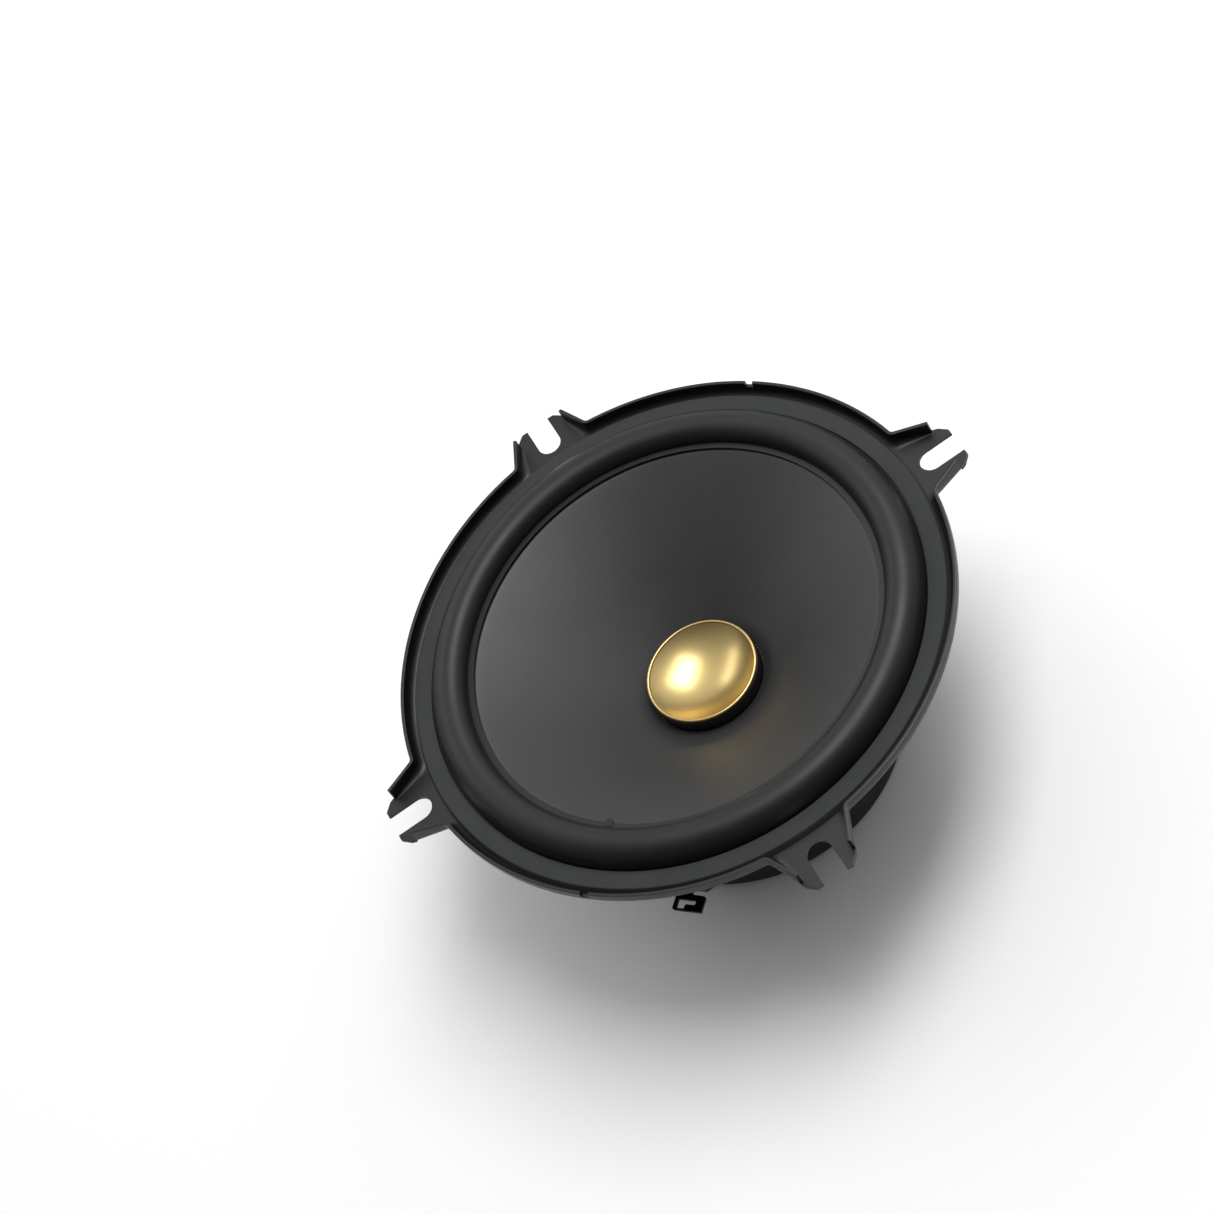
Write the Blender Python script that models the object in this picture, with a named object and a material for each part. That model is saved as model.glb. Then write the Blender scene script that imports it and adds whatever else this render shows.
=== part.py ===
"""Car woofer: stamped basket, roll surround, polymer cone and ferrite motor.

The axis of the loudspeaker is +Z and the cone faces up. The back of the magnet cover lies on
z = 0. The top of the picture of the front is +Y and the terminals are on the -Y side.
"""

import math

import bmesh
import bpy
from mathutils import Matrix, Vector

MM = 0.001

# Clearances
GAP = 0.3 * MM  # between pieces that touch or rest on each other
POLE_CLEARANCE = 0.4 * MM  # former to pole
PLATE_CLEARANCE = 0.45 * MM  # winding to top plate
HOLE_CLEARANCE = 0.3 * MM  # rivet shank to its hole
SEAM_STEP = 0.05 * MM  # step between two formed faces that meet, so that they don't share a plane

# Motor
COVER_FLOOR = 1.2 * MM
COVER_WALL = 2.2 * MM
COVER_EDGE_RADIUS = 1.5 * MM
COVER_OVERLAP = 2.4 * MM  # how far the cover reaches up the side of the top plate
YOKE_RADIUS = 35.0 * MM
YOKE_THICKNESS = 4.5 * MM
POLE_STAND = 0.4 * MM  # pole above the top plate
MAGNET_RADIUS = 36.0 * MM
MAGNET_SETBACK = 2.15 * MM  # magnet's bore outside the top plate's bore
MAGNET_HEIGHT = 10.0 * MM
PLATE_RADIUS = 35.0 * MM
PLATE_THICKNESS = 5.0 * MM

# Coil and cap
COIL_RADIUS = 12.3 * MM  # inside of the former
FORMER_WALL = 0.3 * MM
WINDING_THICKNESS = 0.5 * MM
WINDING_HEIGHT = 8.0 * MM
FORMER_TAIL = 0.5 * MM  # former below the winding
COLLAR_WALL = 0.5 * MM
COLLAR_HEIGHT = 3.7 * MM
FORMER_DROP = 1.0 * MM  # former top below the collar's top
CAP_BEAD = 0.4 * MM  # radius of the cap's rolled rim
CAP_DEPTH = 4.5 * MM
CAP_THICKNESS = 0.4 * MM

# Basket
SHEET = 0.8 * MM
RIM_RADIUS = 66.0 * MM
LIP_HEIGHT = 3.5 * MM  # above the flange floor
LIP_BEND = 2.0 * MM  # inside radius of the bend between floor and lip
BASKET_HEIGHT = 27.4 * MM  # underside of the bottom plate to the flange floor
THROAT_SETBACK = 1.8 * MM  # upper wall's inner face inside the roll's outer edge
THROAT_BEND = 1.0 * MM
THROAT_DEPTH = 8.0 * MM
SHELF_RADIUS = 31.3 * MM
SHELF_HEIGHT = 4.6 * MM  # above the underside of the bottom plate
CUP_RADIUS = 25.2 * MM  # inner face of the wall between shelf and bottom plate
BOTTOM_SETBACK = 2.15 * MM  # basket's bore outside the top plate's bore
WINDOW_HALF_ANGLE = math.radians(31.0)
WINDOW_INNER_MARGIN = 3.2 * MM  # outside the shelf
WINDOW_OUTER_MARGIN = 3.0 * MM  # inside the throat
WINDOW_CORNER = 3.0 * MM
NOTCH_WIDTH = 2.0 * MM
NOTCH_DEPTH = 1.4 * MM

# Forked ears, described along their own centre line
EAR_HALF_WIDTH = 10.2 * MM  # where an ear leaves the rim
EAR_REACH = 10.1 * MM  # tip beyond the rim
EAR_TAPER = 8.3 * MM  # end of the slanted side beyond the rim
EAR_TIP_HALF_WIDTH = 6.3 * MM
EAR_TIP_CHAMFER = 1.9 * MM
EAR_LIP_REACH = 7.8 * MM  # how far the lip runs out along the ear
SLOT_HALF_WIDTH = 2.9 * MM
SLOT_REACH = 3.0 * MM  # centre of the slot's round end beyond the rim

# Gasket, surround, cone and spider
GASKET_WIDTH = 4.4 * MM
GASKET_THICKNESS = 0.4 * MM
SURROUND_THICKNESS = 0.5 * MM
ROLL_WIDTH = 9.2 * MM
ROLL_HEIGHT = 4.5 * MM
INNER_LAND = 1.4 * MM
CONE_THICKNESS = 0.6 * MM
CONE_LIP_RISE = 1.5 * MM  # top of the cone's flat lip above the flange floor
NECK_CLEARANCE = 1.1 * MM  # cone's neck above the spider's land
CONE_BELLY = 0.8 * MM  # how far the cone's side stands out from a straight line
SPIDER_THICKNESS = 0.5 * MM
SPIDER_ROLLS = 4
SPIDER_AMPLITUDE = 0.8 * MM
SPIDER_LAND = 1.2 * MM  # flat ring around the former
SPIDER_EDGE = 0.4 * MM  # shelf left showing outside the spider

# Terminals
TONGUE_HALF_WIDTH = 8.0 * MM
TONGUE_REACH = 8.2 * MM  # beyond the shelf
BOARD_HALF_WIDTH = 15.2 * MM
BOARD_THICKNESS = 1.6 * MM
BOARD_OVERLAP = 6.5 * MM  # board under the tongue
BOARD_LENGTH = 17.1 * MM
BOARD_CHAMFER = 2.0 * MM
BLADE_THICKNESS = 0.8 * MM
BLADE_INNER_X = 7.3 * MM  # near side of each blade's arm
BLADE_EDGE = 0.4 * MM  # blade left on each side of its rivet hole
BLADE_ROOT_GAP = 1.5 * MM  # between the tongue and the blades
LUG_WIDTH = 7.2 * MM
LUG_LENGTH = 4.0 * MM
LUG_SPACING = 2.0 * MM  # between the board's edge and the lug
LUG_BORDER = 0.9 * MM  # beside the opening, on the arm's side
LUG_OUTER_BORDER = 2.0 * MM  # beside it on the other side
LUG_NEAR_BORDER = 1.35 * MM  # above the opening
LUG_FAR_BORDER = 0.5 * MM  # below it
LUG_SLOT = 1.05 * MM
LUG_FOOT = 1.9 * MM
NEGATIVE_SHORTER = 2.7 * MM
RIVET_SHANK = 1.2 * MM
RIVET_HEAD = 2.0 * MM
RIVET_HEAD_HEIGHT = 0.7 * MM
BOARD_RIVET_X = 5.0 * MM
PLATE_RIVET_SHANK = 1.5 * MM
PLATE_RIVET_HEAD = 2.4 * MM
PLATE_RIVET_DEPTH = 3.5 * MM
LEAD_RADIUS = 0.6 * MM
EYELET_RADIUS = 1.6 * MM
EYELET_HEIGHT = 1.2 * MM
EYELET_Y = -22.0 * MM

RIM_STEPS = 60
CORE_STEPS = 40
RIVET_STEPS = 12
BEND_STEPS = 3
ROLL_STEPS = 7
CONE_STEPS = 4
DISH_STEPS = 4
LEAD_STEPS = 3
SHARP_ANGLE = math.radians(35.0)

# Heights, from the back up
YOKE_Z = COVER_FLOOR + GAP
MAGNET_Z = YOKE_Z + YOKE_THICKNESS + GAP
PLATE_Z = MAGNET_Z + MAGNET_HEIGHT + GAP
PLATE_TOP = PLATE_Z + PLATE_THICKNESS
BASKET_Z = PLATE_TOP + GAP
FLANGE_Z = BASKET_Z + BASKET_HEIGHT
SHELF_Z = BASKET_Z + SHELF_HEIGHT
SPIDER_Z = SHELF_Z + GAP
LAND_Z = FLANGE_Z + GAP
GASKET_Z = LAND_Z + SURROUND_THICKNESS + GAP
CONE_LIP_Z = FLANGE_Z + CONE_LIP_RISE
COLLAR_Z = SPIDER_Z + SPIDER_THICKNESS + NECK_CLEARANCE
NECK_Z = COLLAR_Z + CONE_THICKNESS
CONE_DEPTH = CONE_LIP_Z - NECK_Z
COLLAR_TOP = COLLAR_Z + COLLAR_HEIGHT
WINDING_Z = PLATE_Z + (PLATE_THICKNESS - WINDING_HEIGHT) / 2
BOARD_Z = SHELF_Z - SHEET - GAP - BOARD_THICKNESS
BLADE_Z = BOARD_Z + BOARD_THICKNESS + GAP

# Radii, from the axis out
POLE_RADIUS = COIL_RADIUS - POLE_CLEARANCE
FORMER_RADIUS = COIL_RADIUS + FORMER_WALL
SLEEVE_RADIUS = FORMER_RADIUS + GAP  # inside of whatever sits round the former
WINDING_RADIUS = SLEEVE_RADIUS + WINDING_THICKNESS
PLATE_BORE = WINDING_RADIUS + PLATE_CLEARANCE
MAGNET_BORE = PLATE_BORE + MAGNET_SETBACK
BOTTOM_BORE = PLATE_BORE + BOTTOM_SETBACK
COLLAR_RADIUS = SLEEVE_RADIUS + COLLAR_WALL
NECK_RADIUS = COLLAR_RADIUS + GAP
FLOOR_RADIUS = RIM_RADIUS - SHEET - LIP_BEND
ROLL_OUTER = FLOOR_RADIUS - GASKET_WIDTH
ROLL_INNER = ROLL_OUTER - ROLL_WIDTH
LAND_RADIUS = ROLL_INNER - INNER_LAND
THROAT_RADIUS = ROLL_OUTER - THROAT_SETBACK
PLATE_RIVET_RADIUS = (BOTTOM_BORE + CUP_RADIUS) / 2
WINDOW_INNER = SHELF_RADIUS + WINDOW_INNER_MARGIN
WINDOW_OUTER = THROAT_RADIUS - WINDOW_OUTER_MARGIN
TONGUE_END = SHELF_RADIUS + TONGUE_REACH
BOARD_INNER = TONGUE_END - BOARD_OVERLAP
BOARD_OUTER = BOARD_INNER + BOARD_LENGTH
BLADE_ROOT = TONGUE_END + BLADE_ROOT_GAP
BLADE_ARM_WIDTH = 2 * (RIVET_SHANK + HOLE_CLEARANCE + BLADE_EDGE)
LEAD_X = BLADE_INNER_X + BLADE_ARM_WIDTH / 2

EAR_ANGLES = [math.radians(45.0 + 90.0 * n) for n in range(4)]
WINDOW_ANGLES = [math.radians(90.0 * n) for n in range(4)]


def clear_scene():
    """Remove whatever the scene holds."""
    for old in list(bpy.data.objects):
        bpy.data.objects.remove(old, do_unlink=True)


def finish(name, colour, roughness, metallic=0.0):
    """A Principled material."""
    material = bpy.data.materials.new(name)
    material.use_nodes = True
    shader = material.node_tree.nodes["Principled BSDF"]
    shader.inputs["Base Color"].default_value = (*colour, 1.0)
    shader.inputs["Roughness"].default_value = roughness
    shader.inputs["Metallic"].default_value = metallic
    return material


def add_object(name, mesh_data, material=None):
    """Put a bmesh into the scene as a named object, shaded smooth up to the sharp angle."""
    bmesh.ops.remove_doubles(mesh_data, verts=mesh_data.verts, dist=1e-7)
    bmesh.ops.recalc_face_normals(mesh_data, faces=mesh_data.faces)
    mesh = bpy.data.meshes.new(name)
    mesh_data.to_mesh(mesh)
    mesh_data.free()
    mesh.shade_smooth()
    mesh.set_sharp_from_angle(angle=SHARP_ANGLE)
    if material:
        mesh.materials.append(material)
    piece = bpy.data.objects.new(name, mesh)
    bpy.context.scene.collection.objects.link(piece)
    return piece


def arc(centre, radius, start, end, steps):
    """Points along an arc, from the angle start to the angle end in degrees."""
    points = []
    for n in range(steps + 1):
        angle = math.radians(start + (end - start) * n / steps)
        points.append((centre[0] + radius * math.cos(angle), centre[1] + radius * math.sin(angle)))
    return points


def sheet_outline(path, thickness):
    """A closed outline: the path, and the same path moved by thickness to its left side."""
    points = [Vector(point) for point in path]
    runs = [(after - before).normalized() for before, after in zip(points, points[1:])]
    sides = [Vector((-run.y, run.x)) for run in runs]
    moved = []
    for n, point in enumerate(points):
        before = sides[max(n - 1, 0)]
        after = sides[min(n, len(sides) - 1)]
        mitre = (before + after).normalized()
        moved.append(point + mitre * thickness / mitre.dot(before))
    return [tuple(point) for point in points + moved[::-1]]


def turned(name, outline, material=None, steps=RIM_STEPS):
    """Turn a closed outline of (radius, height) points about the Z axis."""
    mesh_data = bmesh.new()
    corners = [mesh_data.verts.new((radius, 0.0, height)) for radius, height in outline]
    edges = []
    for first, second in zip(corners, corners[1:] + corners[:1]):
        if first.co.x > 0.0 or second.co.x > 0.0:
            edges.append(mesh_data.edges.new((first, second)))
    bmesh.ops.spin(
        mesh_data,
        geom=corners + edges,
        cent=(0.0, 0.0, 0.0),
        axis=(0.0, 0.0, 1.0),
        angle=math.tau,
        steps=steps,
        use_merge=True,
    )
    return add_object(name, mesh_data, material)


def add_prism(mesh_data, outline, low, high, turn=0.0):
    """Extrude a closed outline of (x, y) points from low to high, turned about the Z axis."""
    turning = Matrix.Rotation(turn, 4, "Z")
    base = [mesh_data.verts.new(turning @ Vector((x, y, low))) for x, y in outline]
    face = mesh_data.faces.new(base)
    extruded = bmesh.ops.extrude_face_region(mesh_data, geom=[face])
    top = [item for item in extruded["geom"] if isinstance(item, bmesh.types.BMVert)]
    bmesh.ops.translate(mesh_data, verts=top, vec=(0.0, 0.0, high - low))


def prism(name, outline, low, high, material=None):
    """A single extruded piece."""
    mesh_data = bmesh.new()
    add_prism(mesh_data, outline, low, high)
    return add_object(name, mesh_data, material)


def prisms(name, outlines, low, high, turns):
    """Several extruded solids in one object, each outline at each turn."""
    mesh_data = bmesh.new()
    for turn in turns:
        for outline in outlines:
            add_prism(mesh_data, outline, low, high, turn)
    return add_object(name, mesh_data)


def combine(piece, tool, operation):
    """Add or cut with another object by a Boolean, and hide that object."""
    modifier = piece.modifiers.new(tool.name, "BOOLEAN")
    modifier.operation = operation
    modifier.object = tool
    modifier.solver = "EXACT"
    tool.hide_render = True
    tool.display_type = "WIRE"


def circle_outline(x, y, radius, steps=RIVET_STEPS):
    """A round outline of (x, y) points."""
    return arc((x, y), radius, 0.0, 360.0, steps)[:-1]


def tube(name, route, radius, material):
    """A round flexible lead along a smooth curve through the points of its route."""
    curve = bpy.data.curves.new(name, "CURVE")
    curve.dimensions = "3D"
    curve.bevel_depth = radius
    curve.bevel_resolution = 2
    curve.use_fill_caps = True
    points = [Vector(point) for point in route]
    ends = [points[0] * 2 - points[1]] + points + [points[-1] * 2 - points[-2]]
    smooth = []
    for before, first, second, after in zip(ends, ends[1:], ends[2:], ends[3:]):
        for n in range(LEAD_STEPS):
            t = n / LEAD_STEPS
            bend = (
                first * 2
                + (second - before) * t
                + (before * 2 - first * 5 + second * 4 - after) * t**2
                + (first * 3 - before - second * 3 + after) * t**3
            )
            smooth.append(bend / 2)
    smooth.append(points[-1])
    spline = curve.splines.new("POLY")
    spline.points.add(len(smooth) - 1)
    for point, place in zip(spline.points, smooth):
        point.co = (*place, 1.0)
    piece = bpy.data.objects.new(name, curve)
    curve.materials.append(material)
    bpy.context.scene.collection.objects.link(piece)
    return piece


def wall_slope():
    """Rise of the basket's sloping wall for each unit of radius."""
    return (FLANGE_Z - THROAT_DEPTH - SHELF_Z) / (THROAT_RADIUS - SHELF_RADIUS)


def cone_height(radius):
    """Height of the cone's front face at a radius."""
    edge = LAND_RADIUS - GAP
    t = (radius - NECK_RADIUS) / (edge - NECK_RADIUS)
    return NECK_Z + CONE_DEPTH * t + CONE_BELLY * 4.0 * t * (1.0 - t)


# ---- motor -------------------------------------------------------------------------------


def make_magnet_boot(material):
    """Rubber cup over the yoke, the magnet and the lower edge of the top plate."""
    inner = MAGNET_RADIUS + GAP
    outer = inner + COVER_WALL
    top = PLATE_Z + COVER_OVERLAP
    centre = (outer - COVER_EDGE_RADIUS, COVER_EDGE_RADIUS)
    outline = [(0.0, 0.0)]
    outline += arc(centre, COVER_EDGE_RADIUS, -90.0, 0.0, BEND_STEPS)
    outline += [(outer, top), (inner, top), (inner, COVER_FLOOR), (0.0, COVER_FLOOR)]
    return turned("magnet_boot", outline, material)


def make_yoke(material):
    """Back plate and centre pole in one forging."""
    top = PLATE_TOP + POLE_STAND
    outline = [
        (0.0, YOKE_Z),
        (YOKE_RADIUS, YOKE_Z),
        (YOKE_RADIUS, YOKE_Z + YOKE_THICKNESS),
        (POLE_RADIUS, YOKE_Z + YOKE_THICKNESS),
        (POLE_RADIUS, top),
        (0.0, top),
    ]
    return turned("yoke", outline, material)


def make_magnet(material):
    """Ferrite ring."""
    top = MAGNET_Z + MAGNET_HEIGHT
    outline = [
        (MAGNET_BORE, MAGNET_Z),
        (MAGNET_RADIUS, MAGNET_Z),
        (MAGNET_RADIUS, top),
        (MAGNET_BORE, top),
    ]
    return turned("magnet", outline, material)


def rivet_spots():
    """Centres of the rivets between the basket and the top plate."""
    return [
        (PLATE_RIVET_RADIUS * math.cos(angle), PLATE_RIVET_RADIUS * math.sin(angle))
        for angle in EAR_ANGLES
    ]


def make_top_plate(material):
    """Steel ring with the blind holes of the basket's rivets."""
    outline = [
        (PLATE_BORE, PLATE_Z),
        (PLATE_RADIUS, PLATE_Z),
        (PLATE_RADIUS, PLATE_TOP),
        (PLATE_BORE, PLATE_TOP),
    ]
    plate = turned("top_plate", outline, material)
    radius = PLATE_RIVET_SHANK + HOLE_CLEARANCE
    outlines = [circle_outline(x, y, radius) for x, y in rivet_spots()]
    floor = PLATE_TOP - PLATE_RIVET_DEPTH - GAP
    holes = prisms("plate_rivet_holes", outlines, floor, PLATE_TOP + SHEET, [0.0])
    combine(plate, holes, "DIFFERENCE")
    return plate


def make_plate_rivets(material):
    """Rivets that hold the basket's bottom plate down."""
    seat = BASKET_Z + SHEET + GAP
    foot = PLATE_TOP - PLATE_RIVET_DEPTH
    outline = [
        (0.0, foot),
        (PLATE_RIVET_SHANK, foot),
        (PLATE_RIVET_SHANK, seat),
        (PLATE_RIVET_HEAD, seat),
        (PLATE_RIVET_HEAD, seat + RIVET_HEAD_HEIGHT / 2),
        (PLATE_RIVET_SHANK, seat + RIVET_HEAD_HEIGHT),
        (0.0, seat + RIVET_HEAD_HEIGHT),
    ]
    for number, (x, y) in enumerate(rivet_spots(), start=1):
        rivet = turned(f"plate_rivet_{number}", outline, material, steps=RIVET_STEPS)
        rivet.location = (x, y, 0.0)


# ---- moving assembly ---------------------------------------------------------------------


def make_coil_former(material):
    """Tube that carries the winding below and the cone above."""
    foot = WINDING_Z - FORMER_TAIL
    top = COLLAR_TOP - FORMER_DROP
    outline = [(COIL_RADIUS, foot), (FORMER_RADIUS, foot), (FORMER_RADIUS, top), (COIL_RADIUS, top)]
    return turned("coil_former", outline, material, steps=CORE_STEPS)


def make_voice_coil(material):
    """Winding, centred on the height of the top plate."""
    top = WINDING_Z + WINDING_HEIGHT
    outline = [
        (SLEEVE_RADIUS, WINDING_Z),
        (WINDING_RADIUS, WINDING_Z),
        (WINDING_RADIUS, top),
        (SLEEVE_RADIUS, top),
    ]
    return turned("voice_coil", outline, material, steps=CORE_STEPS)


def make_cap_collar(material):
    """Ring between the cone's neck and the dust cap."""
    outline = [
        (SLEEVE_RADIUS, COLLAR_Z),
        (COLLAR_RADIUS, COLLAR_Z),
        (COLLAR_RADIUS, COLLAR_TOP),
        (SLEEVE_RADIUS, COLLAR_TOP),
    ]
    return turned("cap_collar", outline, material, steps=CORE_STEPS)


def make_dust_cap(material):
    """Concave dish with a rolled rim that stands on the collar."""
    bead_r = COLLAR_RADIUS - CAP_BEAD
    bead_z = COLLAR_TOP + GAP + CAP_BEAD
    edge = bead_r - CAP_BEAD
    ball = (edge**2 + CAP_DEPTH**2) / (2.0 * CAP_DEPTH)
    centre_z = bead_z - CAP_DEPTH + ball
    reach = math.degrees(math.asin(edge / ball))
    face = arc((0.0, centre_z), ball, -90.0, reach - 90.0, DISH_STEPS)
    back = arc((0.0, centre_z), ball + CAP_THICKNESS, reach - 90.0, -90.0, DISH_STEPS)
    face[0] = (0.0, face[0][1])
    back[-1] = (0.0, back[-1][1])
    bead = arc((bead_r, bead_z), CAP_BEAD, 180.0, -90.0, DISH_STEPS + 1)
    outline = face + bead[1:] + back
    return turned("dust_cap", outline, material, steps=CORE_STEPS)


def make_cone(material):
    """Diaphragm from its neck to a flat lip under the surround."""
    edge = LAND_RADIUS - GAP
    path = []
    for n in range(CONE_STEPS + 1):
        radius = NECK_RADIUS + (edge - NECK_RADIUS) * n / CONE_STEPS
        path.append((radius, cone_height(radius)))
    path.append((ROLL_INNER - GAP, CONE_LIP_Z))
    return turned("cone", sheet_outline(path, -CONE_THICKNESS), material)


def make_surround(material):
    """Half roll of rubber with a land on the cone and a land on the flange."""
    inner_z = CONE_LIP_Z + GAP + SURROUND_THICKNESS
    outer_z = LAND_Z + SURROUND_THICKNESS
    path = [(LAND_RADIUS, inner_z)]
    for n in range(ROLL_STEPS + 1):
        angle = math.pi * (1.0 - n / ROLL_STEPS)
        radius = (ROLL_INNER + ROLL_OUTER) / 2 + ROLL_WIDTH / 2 * math.cos(angle)
        base = inner_z + (outer_z - inner_z) * n / ROLL_STEPS
        path.append((radius, base + ROLL_HEIGHT * math.sin(angle)))
    path.append((FLOOR_RADIUS - GAP, outer_z))
    return turned("surround", sheet_outline(path, -SURROUND_THICKNESS), material)


def make_spider(material):
    """Corrugated cloth disc between the former and the basket's shelf."""
    flat = SPIDER_Z + SPIDER_THICKNESS
    start = SLEEVE_RADIUS + SPIDER_LAND
    end = CUP_RADIUS - SPIDER_LAND
    path = [(SLEEVE_RADIUS, flat), (start, flat)]
    halves = SPIDER_ROLLS * 2
    for n in range(halves):
        radius = start + (end - start) * (n + 0.5) / halves
        path.append((radius, flat + SPIDER_AMPLITUDE * (-1) ** n))
    path += [(end, flat), (SHELF_RADIUS - SPIDER_EDGE, flat)]
    return turned("spider", sheet_outline(path, -SPIDER_THICKNESS), material, steps=CORE_STEPS)


# ---- basket ------------------------------------------------------------------------------


def ear_side():
    """Start and end of an ear's slanted side, and its unit direction, along the ear's own axes."""
    start = Vector((math.sqrt(RIM_RADIUS**2 - EAR_HALF_WIDTH**2), EAR_HALF_WIDTH))
    end = Vector((RIM_RADIUS + EAR_TAPER, EAR_TIP_HALF_WIDTH))
    return start, end, (end - start).normalized()


def mirrored(points):
    """Points on the +v side and the same points on the -v side, as one closed outline."""
    return [(u, -v) for u, v in points] + [(u, v) for u, v in reversed(points)]


def ear_floor_outline():
    """Flat plate of an ear, from under the gasket to its tip."""
    start, end, _ = ear_side()
    tip = RIM_RADIUS + EAR_REACH
    return mirrored(
        [
            (FLOOR_RADIUS - LIP_BEND / 2, start.y - SEAM_STEP),
            (start.x, start.y - SEAM_STEP),
            (end.x, end.y - SEAM_STEP),
            (tip, EAR_TIP_HALF_WIDTH - EAR_TIP_CHAMFER),
        ]
    )


def ear_lip_outlines():
    """The two strips of lip that turn out of the rim along an ear."""
    start, _, run = ear_side()
    side = Vector((run.y, -run.x)) * SHEET
    root = start - run * (SHEET / 3)
    tip = start + run * (EAR_LIP_REACH / run.x)
    right = [tuple(root), tuple(tip), tuple(tip + side), tuple(root + side)]
    left = [(u, -v) for u, v in reversed(right)]
    return [right, left]


def ear_mouth_outline():
    """The stretch of the rim's lip that opens into an ear."""
    start, _, run = ear_side()
    corner = start + Vector((run.y, -run.x)) * SHEET
    outer = corner + run * (SHEET * 3)
    return mirrored(
        [
            (FLOOR_RADIUS - LIP_BEND / 2, corner.y),
            (corner.x, corner.y),
            (outer.x, outer.y),
        ]
    )


def slot_outline():
    """Screw slot with a round end, open at the ear's tip."""
    centre = (RIM_RADIUS + SLOT_REACH, 0.0)
    end = RIM_RADIUS + EAR_REACH * 1.5
    round_end = arc(centre, SLOT_HALF_WIDTH, 90.0, 270.0, RIVET_STEPS)
    return [(end, SLOT_HALF_WIDTH)] + round_end + [(end, -SLOT_HALF_WIDTH)]


def window_outline():
    """Opening between two spokes, seen along the axis, with rounded corners."""
    half = math.degrees(WINDOW_HALF_ANGLE)
    outer_turn = math.degrees(WINDOW_CORNER / WINDOW_OUTER)
    inner_turn = math.degrees(WINDOW_CORNER / WINDOW_INNER)
    origin = (0.0, 0.0)
    outer = arc(origin, WINDOW_OUTER, outer_turn - half, half - outer_turn, RIVET_STEPS)
    inner = arc(origin, WINDOW_INNER, half - inner_turn, inner_turn - half, RIVET_STEPS)
    side_out = arc(origin, WINDOW_OUTER - WINDOW_CORNER, half, half, 1)[:1]
    side_in = arc(origin, WINDOW_INNER + WINDOW_CORNER, half, half, 1)[:1]
    lower = [(x, -y) for x, y in side_out + side_in]
    return outer + side_out + side_in + inner + lower[::-1]


def make_basket_frame(material):
    """Stamped basket: lip, flange, ears, throat, spokes, shelf, cup and bottom plate."""
    lip_face = RIM_RADIUS - SHEET
    path = [(lip_face, FLANGE_Z + LIP_HEIGHT)]
    path += arc((FLOOR_RADIUS, FLANGE_Z + LIP_BEND), LIP_BEND, 0.0, -90.0, BEND_STEPS)
    path += [
        (THROAT_RADIUS + THROAT_BEND, FLANGE_Z),
        (THROAT_RADIUS, FLANGE_Z - THROAT_BEND),
        (THROAT_RADIUS, FLANGE_Z - THROAT_DEPTH),
        (SHELF_RADIUS, SHELF_Z),
        (CUP_RADIUS, SHELF_Z),
        (CUP_RADIUS, BASKET_Z + SHEET),
        (BOTTOM_BORE, BASKET_Z + SHEET),
    ]
    basket = turned("basket_frame", sheet_outline(path, SHEET), material)
    above = FLANGE_Z + LIP_HEIGHT
    below = FLANGE_Z - SHEET
    beyond = above + LIP_HEIGHT

    floors = prisms("ear_floors", [ear_floor_outline()], below, FLANGE_Z, EAR_ANGLES)
    combine(basket, floors, "UNION")
    mouths = prisms("ear_mouths", [ear_mouth_outline()], FLANGE_Z, beyond, EAR_ANGLES)
    combine(basket, mouths, "DIFFERENCE")
    lips = prisms("ear_lips", ear_lip_outlines(), below + SEAM_STEP, above, EAR_ANGLES)
    combine(basket, lips, "UNION")
    slots = prisms("ear_slots", [slot_outline()], below - SHEET, beyond, EAR_ANGLES)
    combine(basket, slots, "DIFFERENCE")

    tongue_outline = [
        (-TONGUE_HALF_WIDTH, -SHELF_RADIUS + SHEET),
        (-TONGUE_HALF_WIDTH, -TONGUE_END),
        (TONGUE_HALF_WIDTH, -TONGUE_END),
        (TONGUE_HALF_WIDTH, -SHELF_RADIUS + SHEET),
    ]
    tongue_floor = SHELF_Z - SHEET + SEAM_STEP
    tongue = prism("tongue", tongue_outline, tongue_floor, SHELF_Z - SEAM_STEP)
    combine(basket, tongue, "UNION")

    window_floor = SHELF_Z + (wall_slope() * WINDOW_INNER_MARGIN - SHEET) / 2
    window_roof = FLANGE_Z - THROAT_DEPTH + SHEET
    windows = prisms("windows", [window_outline()], window_floor, window_roof, WINDOW_ANGLES)
    combine(basket, windows, "DIFFERENCE")

    notch_floor = above - NOTCH_DEPTH
    half = NOTCH_WIDTH / 2
    inside = RIM_RADIUS - SHEET * 2
    outside = RIM_RADIUS + SHEET
    notch_outline = [(inside, -half), (outside, -half), (outside, half), (inside, half)]
    notch_angles = [math.radians(90.0), math.radians(270.0)]
    notches = prisms("notches", [notch_outline], notch_floor, beyond, notch_angles)
    combine(basket, notches, "DIFFERENCE")

    plate_hole = PLATE_RIVET_SHANK + HOLE_CLEARANCE
    holes = [circle_outline(x, y, plate_hole) for x, y in rivet_spots()]
    cutter = prisms("bottom_plate_holes", holes, BASKET_Z - SHEET, BASKET_Z + SHEET * 2, [0.0])
    combine(basket, cutter, "DIFFERENCE")
    tongue_hole = RIVET_SHANK + HOLE_CLEARANCE
    holes = [circle_outline(x, board_rivet_y(), tongue_hole) for x in (-BOARD_RIVET_X, BOARD_RIVET_X)]
    cutter = prisms("tongue_holes", holes, SHELF_Z - SHEET * 2, SHELF_Z + SHEET, [0.0])
    combine(basket, cutter, "DIFFERENCE")
    return basket


def make_front_gasket(material):
    """Flat ring on the surround's outer land."""
    top = GASKET_Z + GASKET_THICKNESS
    outline = [(ROLL_OUTER + GAP, GASKET_Z), (FLOOR_RADIUS, GASKET_Z), (FLOOR_RADIUS, top)]
    outline.append((ROLL_OUTER + GAP, top))
    return turned("front_gasket", outline, material)


# ---- terminals ---------------------------------------------------------------------------


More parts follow.
